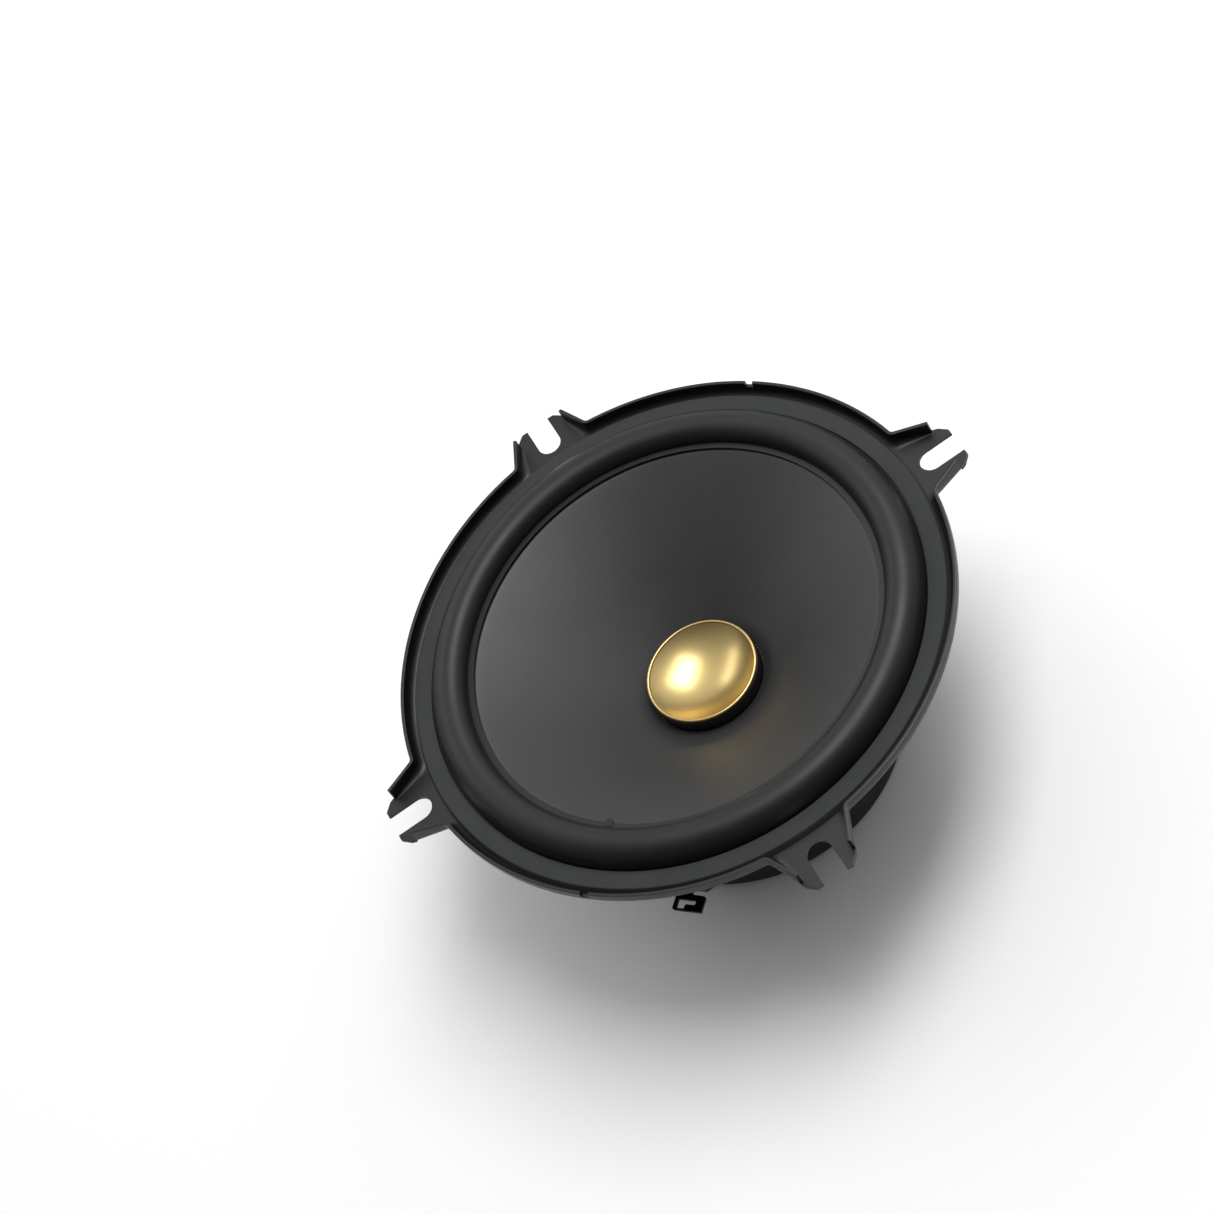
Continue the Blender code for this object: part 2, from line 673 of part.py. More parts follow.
def board_rivet_y():
    """Line of the rivets between the terminal board and the basket's tongue."""
    return -(BOARD_INNER + TONGUE_END) / 2


def blade_rivet_y():
    """Line of the rivets between the blades and the terminal board."""
    return -(BLADE_ROOT + BOARD_OUTER) / 2


def make_terminal_board(material):
    """Insulating board under the tongue."""
    outline = [
        (-BOARD_HALF_WIDTH, -BOARD_INNER),
        (-BOARD_HALF_WIDTH, -BOARD_OUTER + BOARD_CHAMFER),
        (-BOARD_HALF_WIDTH + BOARD_CHAMFER, -BOARD_OUTER),
        (BOARD_HALF_WIDTH - BOARD_CHAMFER, -BOARD_OUTER),
        (BOARD_HALF_WIDTH, -BOARD_OUTER + BOARD_CHAMFER),
        (BOARD_HALF_WIDTH, -BOARD_INNER),
    ]
    top = BOARD_Z + BOARD_THICKNESS
    board = prism("terminal_board", outline, BOARD_Z, top, material)
    radius = RIVET_SHANK + HOLE_CLEARANCE
    spots = [(x, board_rivet_y()) for x in (-BOARD_RIVET_X, BOARD_RIVET_X)]
    spots += [(x, blade_rivet_y()) for x in (-LEAD_X, LEAD_X)]
    outlines = [circle_outline(x, y, radius) for x, y in spots]
    holes = prisms("board_holes", outlines, BOARD_Z - SHEET, top + SHEET, [0.0])
    combine(board, holes, "DIFFERENCE")
    return board


def make_terminal_positive(material):
    """Blade with a wide lug beyond the board and an L-shaped opening in the lug."""
    left = BLADE_INNER_X
    right = left + LUG_WIDTH
    arm = left + BLADE_ARM_WIDTH
    near = -(BOARD_OUTER + LUG_SPACING)
    far = near - LUG_LENGTH
    outline = [(left, -BLADE_ROOT), (left, far), (right, far), (right, near), (arm, near)]
    outline.append((arm, -BLADE_ROOT))
    top = BLADE_Z + BLADE_THICKNESS
    blade = prism("terminal_positive", outline, BLADE_Z, top, material)
    opening_top = near - LUG_NEAR_BORDER
    opening_left = left + LUG_BORDER
    opening = [
        (opening_left, opening_top),
        (opening_left, far + LUG_FAR_BORDER),
        (opening_left + LUG_FOOT, far + LUG_FAR_BORDER),
        (opening_left + LUG_FOOT, opening_top - LUG_SLOT),
        (right - LUG_OUTER_BORDER, opening_top - LUG_SLOT),
        (right - LUG_OUTER_BORDER, opening_top),
    ]
    low = BLADE_Z - SHEET
    high = top + SHEET
    combine(blade, prism("lug_opening", opening, low, high), "DIFFERENCE")
    hole = circle_outline(LEAD_X, blade_rivet_y(), RIVET_SHANK + HOLE_CLEARANCE)
    combine(blade, prism("positive_hole", hole, low, high), "DIFFERENCE")
    return blade


def make_terminal_negative(material):
    """Narrow blade, shorter than the other one."""
    left = -BLADE_INNER_X - BLADE_ARM_WIDTH
    right = -BLADE_INNER_X
    far = -(BOARD_OUTER + LUG_SPACING + LUG_LENGTH - NEGATIVE_SHORTER)
    outline = [(left, -BLADE_ROOT), (left, far), (right, far), (right, -BLADE_ROOT)]
    top = BLADE_Z + BLADE_THICKNESS
    blade = prism("terminal_negative", outline, BLADE_Z, top, material)
    hole = circle_outline(-LEAD_X, blade_rivet_y(), RIVET_SHANK + HOLE_CLEARANCE)
    cutter = prism("negative_hole", hole, BLADE_Z - SHEET, top + SHEET)
    combine(blade, cutter, "DIFFERENCE")
    return blade


def make_rivet(name, x, y, low, high, material):
    """Rivet through the pieces that lie between low and high."""
    seat_low = low - GAP
    seat_high = high + GAP
    outline = [
        (0.0, seat_low - RIVET_HEAD_HEIGHT),
        (RIVET_SHANK, seat_low - RIVET_HEAD_HEIGHT),
        (RIVET_HEAD, seat_low - RIVET_HEAD_HEIGHT / 2),
        (RIVET_HEAD, seat_low),
        (RIVET_SHANK, seat_low),
        (RIVET_SHANK, seat_high),
        (RIVET_HEAD, seat_high),
        (RIVET_HEAD, seat_high + RIVET_HEAD_HEIGHT / 2),
        (RIVET_SHANK, seat_high + RIVET_HEAD_HEIGHT),
        (0.0, seat_high + RIVET_HEAD_HEIGHT),
    ]
    rivet = turned(name, outline, material, steps=RIVET_STEPS)
    rivet.location = (x, y, 0.0)
    return rivet


def make_terminal_rivets(material):
    """Board to tongue, and blades to board."""
    blade_top = BLADE_Z + BLADE_THICKNESS
    for side, sign in (("left", -1.0), ("right", 1.0)):
        x = sign * BOARD_RIVET_X
        make_rivet(f"board_rivet_{side}", x, board_rivet_y(), BOARD_Z, SHELF_Z, material)
    for side, sign in (("negative", -1.0), ("positive", 1.0)):
        x = sign * LEAD_X
        make_rivet(f"blade_rivet_{side}", x, blade_rivet_y(), BOARD_Z, blade_top, material)


def eyelet_top():
    """Top of the lead eyelets, just under the sloping back of the cone."""
    nearest = math.hypot(LEAD_X, EYELET_Y) - EYELET_RADIUS
    return cone_height(nearest) - CONE_THICKNESS * 1.25 - GAP


def make_leads(lead_material, eyelet_material):
    """Two tinsel leads from the back of the cone through a window to the blades."""
    top = eyelet_top()
    bottom = top - EYELET_HEIGHT
    outline = [
        (0.0, bottom),
        (EYELET_RADIUS * 0.6, bottom),
        (EYELET_RADIUS, top - EYELET_HEIGHT / 2),
        (EYELET_RADIUS, top),
        (0.0, top),
    ]
    landing = -(BLADE_ROOT + RIVET_SHANK)
    start_z = bottom - GAP
    end_z = BLADE_Z + BLADE_THICKNESS + GAP
    for side, sign in (("negative", -1.0), ("positive", 1.0)):
        x = sign * LEAD_X
        eyelet = turned(f"lead_eyelet_{side}", outline, eyelet_material, RIVET_STEPS)
        eyelet.location = (x, EYELET_Y, 0.0)
        run = landing - EYELET_Y
        route = [
            (x, EYELET_Y, start_z),
            (x, EYELET_Y + run * 0.05, start_z - LEAD_RADIUS * 2),
            (x, EYELET_Y + run * 0.35, start_z - LEAD_RADIUS * 3),
            (x, EYELET_Y + run * 0.70, start_z - LEAD_RADIUS * 2),
            (x, EYELET_Y + run * 0.95, (start_z + end_z) / 2),
            (x, landing, end_z),
        ]
        tube(f"lead_{side}", route, LEAD_RADIUS, lead_material)


def main():
    """Build every piece."""
    clear_scene()
    black_paint = finish("black_painted_steel", (0.012, 0.012, 0.013), 0.38, 0.0)
    rubber = finish("black_rubber", (0.016, 0.016, 0.017), 0.55)
    grey_board = finish("grey_gasket_board", (0.060, 0.062, 0.064), 0.85)
    cone_film = finish("dark_polymer", (0.055, 0.056, 0.058), 0.42)
    gold = finish("gold_film", (0.83, 0.62, 0.27), 0.22, 1.0)
    black_film = finish("black_film", (0.012, 0.012, 0.012), 0.50)
    copper = finish("enamelled_copper", (0.72, 0.28, 0.12), 0.30, 1.0)
    cloth = finish("treated_cloth", (0.62, 0.47, 0.22), 0.90)
    zinc = finish("zinc_plated_steel", (0.60, 0.61, 0.63), 0.35, 1.0)
    ferrite = finish("ferrite", (0.045, 0.045, 0.048), 0.70)
    fibre = finish("black_fibre_board", (0.020, 0.018, 0.017), 0.70)
    dark_metal = finish("blackened_steel", (0.030, 0.030, 0.032), 0.40, 1.0)
    tinsel = finish("tinned_braid", (0.66, 0.60, 0.50), 0.45, 1.0)

    make_magnet_boot(rubber)
    make_yoke(zinc)
    make_magnet(ferrite)
    make_top_plate(zinc)
    make_plate_rivets(zinc)
    make_coil_former(black_film)
    make_voice_coil(copper)
    make_cap_collar(black_film)
    make_dust_cap(gold)
    make_cone(cone_film)
    make_surround(rubber)
    make_spider(cloth)
    make_basket_frame(black_paint)
    make_front_gasket(grey_board)
    make_terminal_board(fibre)
    make_terminal_positive(dark_metal)
    make_terminal_negative(dark_metal)
    make_terminal_rivets(zinc)
    make_leads(tinsel, black_film)


main()
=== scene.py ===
import logging
import math
from collections.abc import Sequence
from dataclasses import dataclass, field
from enum import Enum

import bmesh
import bpy
from mathutils import Matrix, Quaternion, Vector
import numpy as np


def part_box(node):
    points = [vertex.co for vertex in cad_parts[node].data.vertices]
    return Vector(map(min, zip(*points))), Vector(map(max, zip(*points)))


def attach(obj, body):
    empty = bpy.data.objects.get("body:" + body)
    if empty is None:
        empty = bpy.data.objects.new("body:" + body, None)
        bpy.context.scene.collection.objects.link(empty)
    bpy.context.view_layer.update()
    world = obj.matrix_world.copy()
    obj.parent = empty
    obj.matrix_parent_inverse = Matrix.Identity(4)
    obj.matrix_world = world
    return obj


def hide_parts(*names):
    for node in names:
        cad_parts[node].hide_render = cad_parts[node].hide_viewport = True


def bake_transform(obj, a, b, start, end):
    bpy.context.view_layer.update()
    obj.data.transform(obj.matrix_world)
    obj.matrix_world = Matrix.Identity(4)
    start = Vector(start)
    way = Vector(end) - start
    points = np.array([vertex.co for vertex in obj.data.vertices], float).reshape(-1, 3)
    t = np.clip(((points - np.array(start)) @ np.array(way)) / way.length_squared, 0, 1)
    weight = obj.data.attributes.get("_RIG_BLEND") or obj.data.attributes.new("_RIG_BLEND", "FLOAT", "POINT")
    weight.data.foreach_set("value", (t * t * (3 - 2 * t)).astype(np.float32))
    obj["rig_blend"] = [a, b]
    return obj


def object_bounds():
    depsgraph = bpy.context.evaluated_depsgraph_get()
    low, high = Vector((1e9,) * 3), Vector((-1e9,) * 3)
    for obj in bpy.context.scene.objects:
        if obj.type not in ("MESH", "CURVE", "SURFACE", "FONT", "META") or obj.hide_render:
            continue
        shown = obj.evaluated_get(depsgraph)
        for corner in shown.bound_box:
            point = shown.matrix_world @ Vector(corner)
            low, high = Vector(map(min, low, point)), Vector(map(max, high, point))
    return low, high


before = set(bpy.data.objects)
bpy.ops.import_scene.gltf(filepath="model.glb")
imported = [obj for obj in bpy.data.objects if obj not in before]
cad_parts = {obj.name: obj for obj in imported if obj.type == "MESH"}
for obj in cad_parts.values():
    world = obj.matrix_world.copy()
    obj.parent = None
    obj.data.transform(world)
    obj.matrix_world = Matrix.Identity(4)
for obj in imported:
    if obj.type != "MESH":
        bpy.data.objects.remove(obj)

# Looks of a 132 mm cone loudspeaker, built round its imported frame. Sizes are in millimetres.

LOG = logging.getLogger("loudspeaker")
CAD_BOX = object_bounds()
MM = 0.001
SHARP = math.radians(35.0)
TURNS = 288  # steps round the large rings
SMALL_TURNS = 144  # steps round the rings near the axis
EYELET_TURNS = 48
MERGE = 1e-7  # metres between points that are one
EAR_ANGLES = (45.0, 135.0, 225.0, 315.0)
CONE_GLUE = 0.3  # between the cone's edge and the surround

Point = tuple[float, float]
Corner = tuple[float, float, float]  # a point and the radius that rounds it
Place = tuple[float, float, float]
Inputs = Sequence[object] | dict[str | int, object]
Tree, Socket, Node = bpy.types.NodeTree, bpy.types.NodeSocket, bpy.types.Node
Mesh, Piece = bpy.types.Mesh, bpy.types.Object


class Body(Enum):
    """The two rigid bodies of the loudspeaker."""

    CHASSIS = "chassis"
    DIAPHRAGM = "diaphragm"


class Join(Enum):
    """What a tool solid does to a piece."""

    ADD = "UNION"
    CUT = "DIFFERENCE"


class Pole(Enum):
    """The two terminals, by the side of the centre line that they stand on."""

    POSITIVE = 1.0
    NEGATIVE = -1.0

    @property
    def label(self) -> str:
        """Name in lower case, as in the nodes' names."""
        return self.name.lower()


# ---- shared tools ------------------------------------------------------------------------


def linear(code: str) -> tuple[float, float, float, float]:
    """Turn an sRGB hex colour into linear light.

    Args:
        code: Six hex digits after a hash.

    Returns:
        Red, green, blue and an alpha of one.
    """
    shares = [int(code[n:n + 2], 16) / 255.0 for n in (1, 3, 5)]
    light = [s / 12.92 if s <= 0.04045 else ((s + 0.055) / 1.055) ** 2.4 for s in shares]
    return (*light, 1.0)


def per(size: float) -> float:
    """Texture scale at which one cell is a size in millimetres wide."""
    return 1.0 / (size * MM)


def add(tree: Tree, kind: str, inputs: Inputs = (), **settings: object) -> Node:
    """Add a node with its settings and links.

    Args:
        tree: Tree that gets the node.
        kind: Type of the node.
        inputs: Values, sockets or nodes, by position or by name; None leaves an input alone.
        settings: Properties of the node.

    Returns:
        The node.
    """
    node = tree.nodes.new(kind)
    for name, value in settings.items():
        setattr(node, name, value)
    for key, value in inputs.items() if isinstance(inputs, dict) else enumerate(inputs):
        source = value.outputs[0] if isinstance(value, Node) else value
        if isinstance(source, Socket):
            tree.links.new(source, node.inputs[key])
        elif source is not None:
            node.inputs[key].default_value = source
    return node


def aimed(towards: Vector) -> Quaternion:
    """Turn that faces a lamp down a direction, with its height as near to the Y axis as it goes."""
    across = Vector((0.0, 1.0, 0.0)).cross(towards).normalized()
    return Matrix((across, towards.cross(across), towards)).transposed().to_quaternion()


def rounded(corners: Sequence[Corner], closed: bool = True, steps: int = 5) -> list[Point]:
    """Round the corners of an outline.

    Args:
        corners: Points with the radius of each corner.
        closed: Whether the last corner leads back to the first.
        steps: Steps along each rounding.

    Returns:
        The points of the rounded outline.
    """
    points: list[Point] = []
    for n, (x, y, radius) in enumerate(corners):
        if radius == 0.0 or (not closed and n in (0, len(corners) - 1)):
            points.append((x, y))
            continue
        here = Vector((x, y))
        before = (Vector(corners[n - 1][:2]) - here).normalized()
        after = (Vector(corners[(n + 1) % len(corners)][:2]) - here).normalized()
        half = before.angle(after) / 2.0
        centre = here + (before + after).normalized() * (radius / math.sin(half))
        first = here + before * (radius / math.tan(half)) - centre
        last = here + after * (radius / math.tan(half)) - centre
        sweep = first.angle(last)
        for step in range(steps + 1):
            share = step / steps
            spoke = first * math.sin((1.0 - share) * sweep) + last * math.sin(share * sweep)
            points.append(tuple(centre + spoke / math.sin(sweep)))
    return points


def arc(centre: Point, radius: float, start: float, end: float, steps: int) -> list[Point]:
    """Points along an arc.

    Args:
        centre: Centre of the arc.
        radius: Radius of the arc.
        start: First angle in degrees.
        end: Last angle in degrees.
        steps: Number of steps.

    Returns:
        One point more than there are steps.
    """
    angles = [math.radians(start + (end - start) * n / steps) for n in range(steps + 1)]
    return [(centre[0] + radius * math.cos(a), centre[1] + radius * math.sin(a)) for a in angles]


def polar(radius: float, angle: float) -> Point:
    """Point at a radius and an angle in degrees about the axis."""
    return arc((0.0, 0.0), radius, angle, angle, 1)[0]


def drilled(centre: Point, radius: float) -> list[Point]:
    """Outline of a drilled hole."""
    return arc(centre, radius, 0.0, 345.0, 23)


def finer(path: Sequence[Point], longest: float) -> list[Point]:
    """Split the long runs of a path so that none is longer than the given length."""
    points = [tuple(path[0])]
    for first, last in zip(path, path[1:]):
        first, last = Vector(first), Vector(last)
        parts = max(1, math.ceil((last - first).length / longest))
        points += [tuple(first.lerp(last, n / parts)) for n in range(1, parts + 1)]
    return points


def left_sides(path: Sequence[Point]) -> list[Vector]:
    """Mitred direction to the left of a path at each of its points, as long as the offset needs."""
    runs = [(Vector(b) - Vector(a)).normalized() for a, b in zip(path, path[1:])]
    sides = [Vector((-run.y, run.x)) for run in runs]
    mitres = []
    for before, after in zip([sides[0], *sides], [*sides, sides[-1]]):
        middle = (before + after).normalized()
        mitres.append(middle / middle.dot(before))
    return mitres


def solid(name: str, places: Sequence[Place], faces: Sequence[Sequence[int]]) -> Mesh:
    """Make a closed mesh from points in millimetres.

    Args:
        name: Name of the mesh.
        places: Points in millimetres.
        faces: Point numbers of each face.

    Returns:
        The mesh in metres, its faces outwards and its edges sharp past the sharp angle.
    """
    mesh = bpy.data.meshes.new(name)
    mesh.from_pydata([Vector(place) * MM for place in places], [], faces)
    return closed_up(mesh, flatten=True)


def closed_up(mesh: Mesh, flatten: bool = False) -> Mesh:
    """Merge doubled points, turn the faces outwards and shade smooth.

    Args:
        mesh: Mesh to close.
        flatten: Whether faces and edges without a size are dissolved too.

    Returns:
        The same mesh.
    """
    work = bmesh.new()
    work.from_mesh(mesh)
    bmesh.ops.remove_doubles(work, verts=work.verts, dist=MERGE)
    if flatten:
        bmesh.ops.dissolve_degenerate(work, edges=work.edges, dist=MERGE)
    bmesh.ops.recalc_face_normals(work, faces=work.faces)
    work.to_mesh(mesh)
    work.free()
    return smooth(mesh)


def smooth(mesh: Mesh) -> Mesh:
    """Shade a mesh smooth, with its sharp edges kept."""
    mesh.shade_smooth()
    mesh.set_sharp_from_angle(angle=SHARP)
    return mesh


def turned(name: str, outline: Sequence[Point], steps: int = TURNS, axis: Point = (0.0, 0.0)) -> Mesh:
    """Turn a closed outline once round an upright axis.

    Args:
        name: Name of the mesh.
        outline: Radius and height of each point; a radius of zero is a pole.
        steps: Steps round the axis.
        axis: Where the axis stands.

    Returns:
        The closed mesh.
    """
    places: list[Place] = []
    rings: list[list[int]] = []
    for radius, height in outline:
        start = len(places)
        if radius < 1e-6:
            places.append((axis[0], axis[1], height))
            rings.append([start] * steps)
            continue
        for n in range(steps):
            angle = math.tau * n / steps
            x = axis[0] + radius * math.cos(angle)
            places.append((x, axis[1] + radius * math.sin(angle), height))
        rings.append(list(range(start, start + steps)))
    return solid(name, places, ring_faces(rings, closed=True))


def ring_faces(rings: Sequence[Sequence[int]], closed: bool) -> list[list[int]]:
    """Faces between neighbouring rings of points, and from the last ring to the first if closed."""
    faces = []
    following = [*rings[1:], *(rings[:1] if closed else [])]
    for first, second in zip(rings, following):
        for n in range(len(first)):
            m = (n + 1) % len(first)
            face = list(dict.fromkeys((first[n], first[m], second[m], second[n])))
            if len(face) > 2:
                faces.append(face)
    return faces


def extruded(name: str, outlines: Sequence[Sequence[Point]], low: float, high: float) -> Mesh:
    """Raise closed flat outlines from one height to another.

    Args:
        name: Name of the mesh.
        outlines: Outlines that don't touch each other.
        low: Lower height.
        high: Upper height.

    Returns:
        The closed mesh, one prism for each outline.
    """
    places: list[Place] = []
    faces: list[list[int]] = []
    for outline in outlines:
        count, start = len(outline), len(places)
        places += [(x, y, low) for x, y in outline] + [(x, y, high) for x, y in outline]
        bottom = list(range(start, start + count))
        top = list(range(start + count, start + 2 * count))
        faces += [bottom[::-1], top, *ring_faces([bottom, top], closed=False)]
    return solid(name, places, faces)


def new_object(name: str, mesh: Mesh) -> Piece:
    """Put a mesh into the scene as an object at the origin."""
    piece = bpy.data.objects.new(name, mesh)
    bpy.context.scene.collection.objects.link(piece)
    return piece


def baked(piece: Piece) -> Mesh:
    """Plain mesh of an object with its modifiers applied; the object is removed."""
    bpy.context.view_layer.update()
    graph = bpy.context.evaluated_depsgraph_get()
    mesh = bpy.data.meshes.new_from_object(piece.evaluated_get(graph))
    mesh.name = piece.name
    bpy.data.objects.remove(piece)
    return mesh


def combined(mesh: Mesh, tool: Mesh, join: Join) -> Mesh:
    """Add a solid to a mesh, or cut it out.

    Args:
        mesh: Mesh to work on.
        tool: Solid that is added or cut out.
        join: Which of the two.

    Returns:
        The new mesh, shaded smooth.
    """
    piece = new_object(mesh.name, mesh)
    helper = new_object(tool.name, tool)
    modifier = piece.modifiers.new(tool.name, "BOOLEAN")
    modifier.operation = join.value
    modifier.object = helper
    modifier.solver = "EXACT"
    result = baked(piece)
    bpy.data.objects.remove(helper)
    return smooth(result)


def extent(node: str) -> tuple[Vector, Vector]:
    """Lowest and highest corner of a CAD node, in millimetres."""
    low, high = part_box(node)
    return low / MM, high / MM


def fit(piece: Piece, finish: "Finish", slot: str, *nodes: str) -> Piece:
    """Dress a piece and let it stand for its CAD nodes.

    Args:
        piece: The finished piece.
        finish: What it is coated with or made of.
        slot: Not used.
        nodes: CAD nodes that it stands for.

    Returns:
        The piece.
    """
    piece.data.materials.clear()
    piece.data.materials.append(finish.material())
    if nodes:
        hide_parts(*nodes)
    LOG.info("%s: %d faces, %s", piece.name, len(piece.data.polygons), finish.name)
    return piece


def mount(mesh: Mesh, body: Body, finish: "Finish", slot: str, *nodes: str) -> Piece:
    """Make a mesh a piece that rides on a body, and dress it.

    Args:
        mesh: Finished mesh; the piece takes its name.
        body: Body that it moves with.
        finish: Finish of the piece.
        slot: Material slot, handed on to fit().
        nodes: CAD nodes that it stands for.

    Returns:
        The piece.
    """
    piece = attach(new_object(mesh.name, mesh), body.value)
    return fit(piece, finish, slot, *nodes)


def hang(mesh: Mesh, fixed: float, moving: float) -> Piece:
    """Make a ring a piece that follows the chassis at one radius and the diaphragm at another.

    Args:
        mesh: Finished mesh of the ring.
        fixed: Radius where it is held by the chassis.
        moving: Radius where it is held by the diaphragm.

    Returns:
        The piece, its bend running along the radius.
    """
    piece = new_object(mesh.name, mesh)
    start, end = (fixed * MM, 0.0, 0.0), (moving * MM, 0.0, 0.0)
    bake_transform(piece, Body.CHASSIS.value, Body.DIAPHRAGM.value, start=start, end=end)
    weights = piece.data.attributes["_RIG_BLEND"].data
    for vertex, weight in zip(piece.data.vertices, weights):
        share = (vertex.co.xy.length / MM - fixed) / (moving - fixed)
        share = min(max(share, 0.0), 1.0)
        weight.value = share * share * (3.0 - 2.0 * share)
    return piece


# ---- finishes ----------------------------------------------------------------------------


@dataclass(frozen=True)
class Finish:
    """What a piece is made of and how its surface was made; two tones in soft clouds over a fine grain."""

    name: str
    colour: str
    second: str  # tone in the clouds
    # tone in the clouds; Fibrous uses it as the painted light on raised fibres, Woven as the painted shade in
    # the weave's gaps
    roughness: float
    spread: float = 0.06  # of the roughness, either way
    metallic: float = 0.0
    specular: float = 0.5
    cloud: float = 9.0  # mm across a cloud
    grain: float = 0.5  # mm across a grain
    relief: float = 0.01  # mm from the low to the high of the grain

    def material(self) -> bpy.types.Material:
        """The finish as a material, made once."""
        made = bpy.data.materials.get(self.name)
        if made:
            return made
        made = bpy.data.materials.new(self.name)
        made.use_nodes = True
        tree = made.node_tree
        shader = tree.nodes["Principled BSDF"]
        shader.inputs["Metallic"].default_value = self.metallic
        shader.inputs["Specular IOR Level"].default_value = self.specular
        place = add(tree, "ShaderNodeTexCoord").outputs["Object"]
        self.dress(tree, shader, place)
        return made

    def dress(self, tree: Tree, shader: Node, place: Socket) -> None:
        """Fill the material's tree.

        Args:
            tree: Tree of the material.
            shader: Its Principled shader.
            place: Object coordinates.
        """
        clouds = self.clouds(tree, place)
        tone = self.tone(tree, clouds, place)
        rough = add(tree, "ShaderNodeMapRange", [clouds, 0.3, 0.7, self.roughness - self.spread,
                                                 self.roughness + self.spread])
        height = self.height(tree, place)
        bump = add(tree, "ShaderNodeBump", {"Distance": self.relief * MM, "Height": height})
        tree.links.new(tone, shader.inputs["Base Color"])
        tree.links.new(rough.outputs[0], shader.inputs["Roughness"])
        tree.links.new(bump.outputs[0], shader.inputs["Normal"])

    def clouds(self, tree: Tree, place: Socket) -> Socket:
        """Soft clouds between 0 and 1."""
        noise = add(tree, "ShaderNodeTexNoise", {"Vector": place, "Scale": per(self.cloud), "Detail": 4.0})
        return noise.outputs["Fac"]

    def tone(self, tree: Tree, clouds: Socket, place: Socket) -> Socket:
        """Colour between the two tones, by the clouds; Fibrous and Woven pass their painted light and shade
        in place of the clouds.
        """
        mix = add(tree, "ShaderNodeMix", {0: clouds, 6: linear(self.colour), 7: linear(self.second)},
                  data_type="RGBA")
        return mix.outputs[2]

    def height(self, tree: Tree, place: Socket) -> Socket:
        """Height of the surface's fine grain."""
        noise = add(tree, "ShaderNodeTexNoise", {"Vector": place, "Scale": per(self.grain), "Detail": 3.0})
        return noise.outputs["Fac"]


@dataclass(frozen=True)
class Flecked(Finish):
    """A moulded polymer with bright flakes scattered in it."""

    fleck: str = "#6a6a68"
    flake: float = 0.55  # mm across a flake
    share: float = 0.10  # of the flakes that catch the light

    def tone(self, tree: Tree, clouds: Socket, place: Socket) -> Socket:
        """The clouded tone with flakes scattered over it."""
        under = super().tone(tree, clouds, place)
        cells = add(tree, "ShaderNodeTexVoronoi", {"Vector": place, "Scale": per(self.flake)})
        pick = add(tree, "ShaderNodeMapRange", [cells.outputs["Color"], 1.0 - self.share, 1.0, 0.0, 0.55])
        near = add(tree, "ShaderNodeMapRange", [cells.outputs["Distance"], 0.15, 0.45, 1.0, 0.0])
        amount = add(tree, "ShaderNodeMath", [pick, near], operation="MULTIPLY")
        mix = add(tree, "ShaderNodeMix", {0: amount, 6: under, 7: linear(self.fleck)}, data_type="RGBA")
        return mix.outputs[2]


@dataclass(frozen=True)
class Fibrous(Finish):
    """Pressed board or felted paper, with fibres lying in all directions."""

    fibre: float = 0.35  # mm across a fibre
    stretch: float = 6.0  # length of a fibre over its width

    def height(self, tree: Tree, place: Socket) -> Socket:
        """The highest of three layers of fibres, each turned from the last."""
        top = None
        for turn in (15.0, 75.0, 135.0):
            laid = add(tree, "ShaderNodeMapping", {"Vector": place,
                                                   "Rotation": (0.0, 0.0, math.radians(turn)),
                                                   "Scale": (1.0, self.stretch, 1.0)}, vector_type="TEXTURE")
            noise = add(tree, "ShaderNodeTexNoise", {"Vector": laid, "Scale": per(self.fibre), "Detail": 2.0})
            layer = noise.outputs["Fac"]
            top = layer if top is None else add(tree, "ShaderNodeMath", [top, layer],
                                                operation="MAXIMUM").outputs[0]
        return top

    def tone(self, tree: Tree, clouds: Socket, place: Socket) -> Socket:
        """Lighter where a fibre lies on top and darker in the hollows between: painted light and shade."""
        painted_fibre_light = add(tree, "ShaderNodeMapRange", [self.height(tree, place), 0.4, 0.9, 0.0, 1.0])
        return super().tone(tree, painted_fibre_light.outputs[0], place)


@dataclass(frozen=True)
class Woven(Finish):
    """Plain woven cloth, stiffened with resin, its threads along X and Y."""

    thread: float = 0.8  # mm from thread to thread; twice the real spacing, so that it shows

    def height(self, tree: Tree, place: Socket) -> Socket:
        """Threads that go over and under each other."""
        parts = add(tree, "ShaderNodeSeparateXYZ", [place])
        waves = []
        for axis in (0, 1):
            turn = add(tree, "ShaderNodeMath", [parts.outputs[axis], math.pi * per(self.thread)],
                       operation="MULTIPLY")
            waves.append(add(tree, "ShaderNodeMath", [turn], operation="SINE"))
        over = add(tree, "ShaderNodeMath", waves, operation="MULTIPLY")
        high = add(tree, "ShaderNodeMath", [over], operation="ABSOLUTE")
        return high.outputs[0]

    def tone(self, tree: Tree, clouds: Socket, place: Socket) -> Socket:
        """Darker in the gaps between threads: painted shade."""
        painted_gap_shade = add(tree, "ShaderNodeMapRange", [self.height(tree, place), 0.1, 0.7, 1.0, 0.0])
        return super().tone(tree, painted_gap_shade.outputs[0], place)


# Electrocoat over pressed steel: an even satin black with a faint orange peel
ELECTROCOAT = Finish("electrocoated_pressed_steel", "#0c0c0d", "#121213", 0.40, 0.04, specular=0.42,
                     cloud=14.0, grain=0.9, relief=0.004)
# Compression-moulded butyl rubber: soft dull black, its gloss broken by a fine mould texture
BUTYL = Finish("moulded_butyl_rubber", "#121313", "#161717", 0.44, 0.04, specular=0.36,
               cloud=11.0, grain=0.35, relief=0.005)
# Die-cut gasket board: flat dark grey without gloss, fibres just showing; the lighter grey is painted light
# on the raised fibres
GASKET_BOARD = Fibrous("die_cut_gasket_board", "#2e2f2f", "#373838", 0.80, 0.05, specular=0.35,
                       grain=0.3, relief=0.012, fibre=0.22)
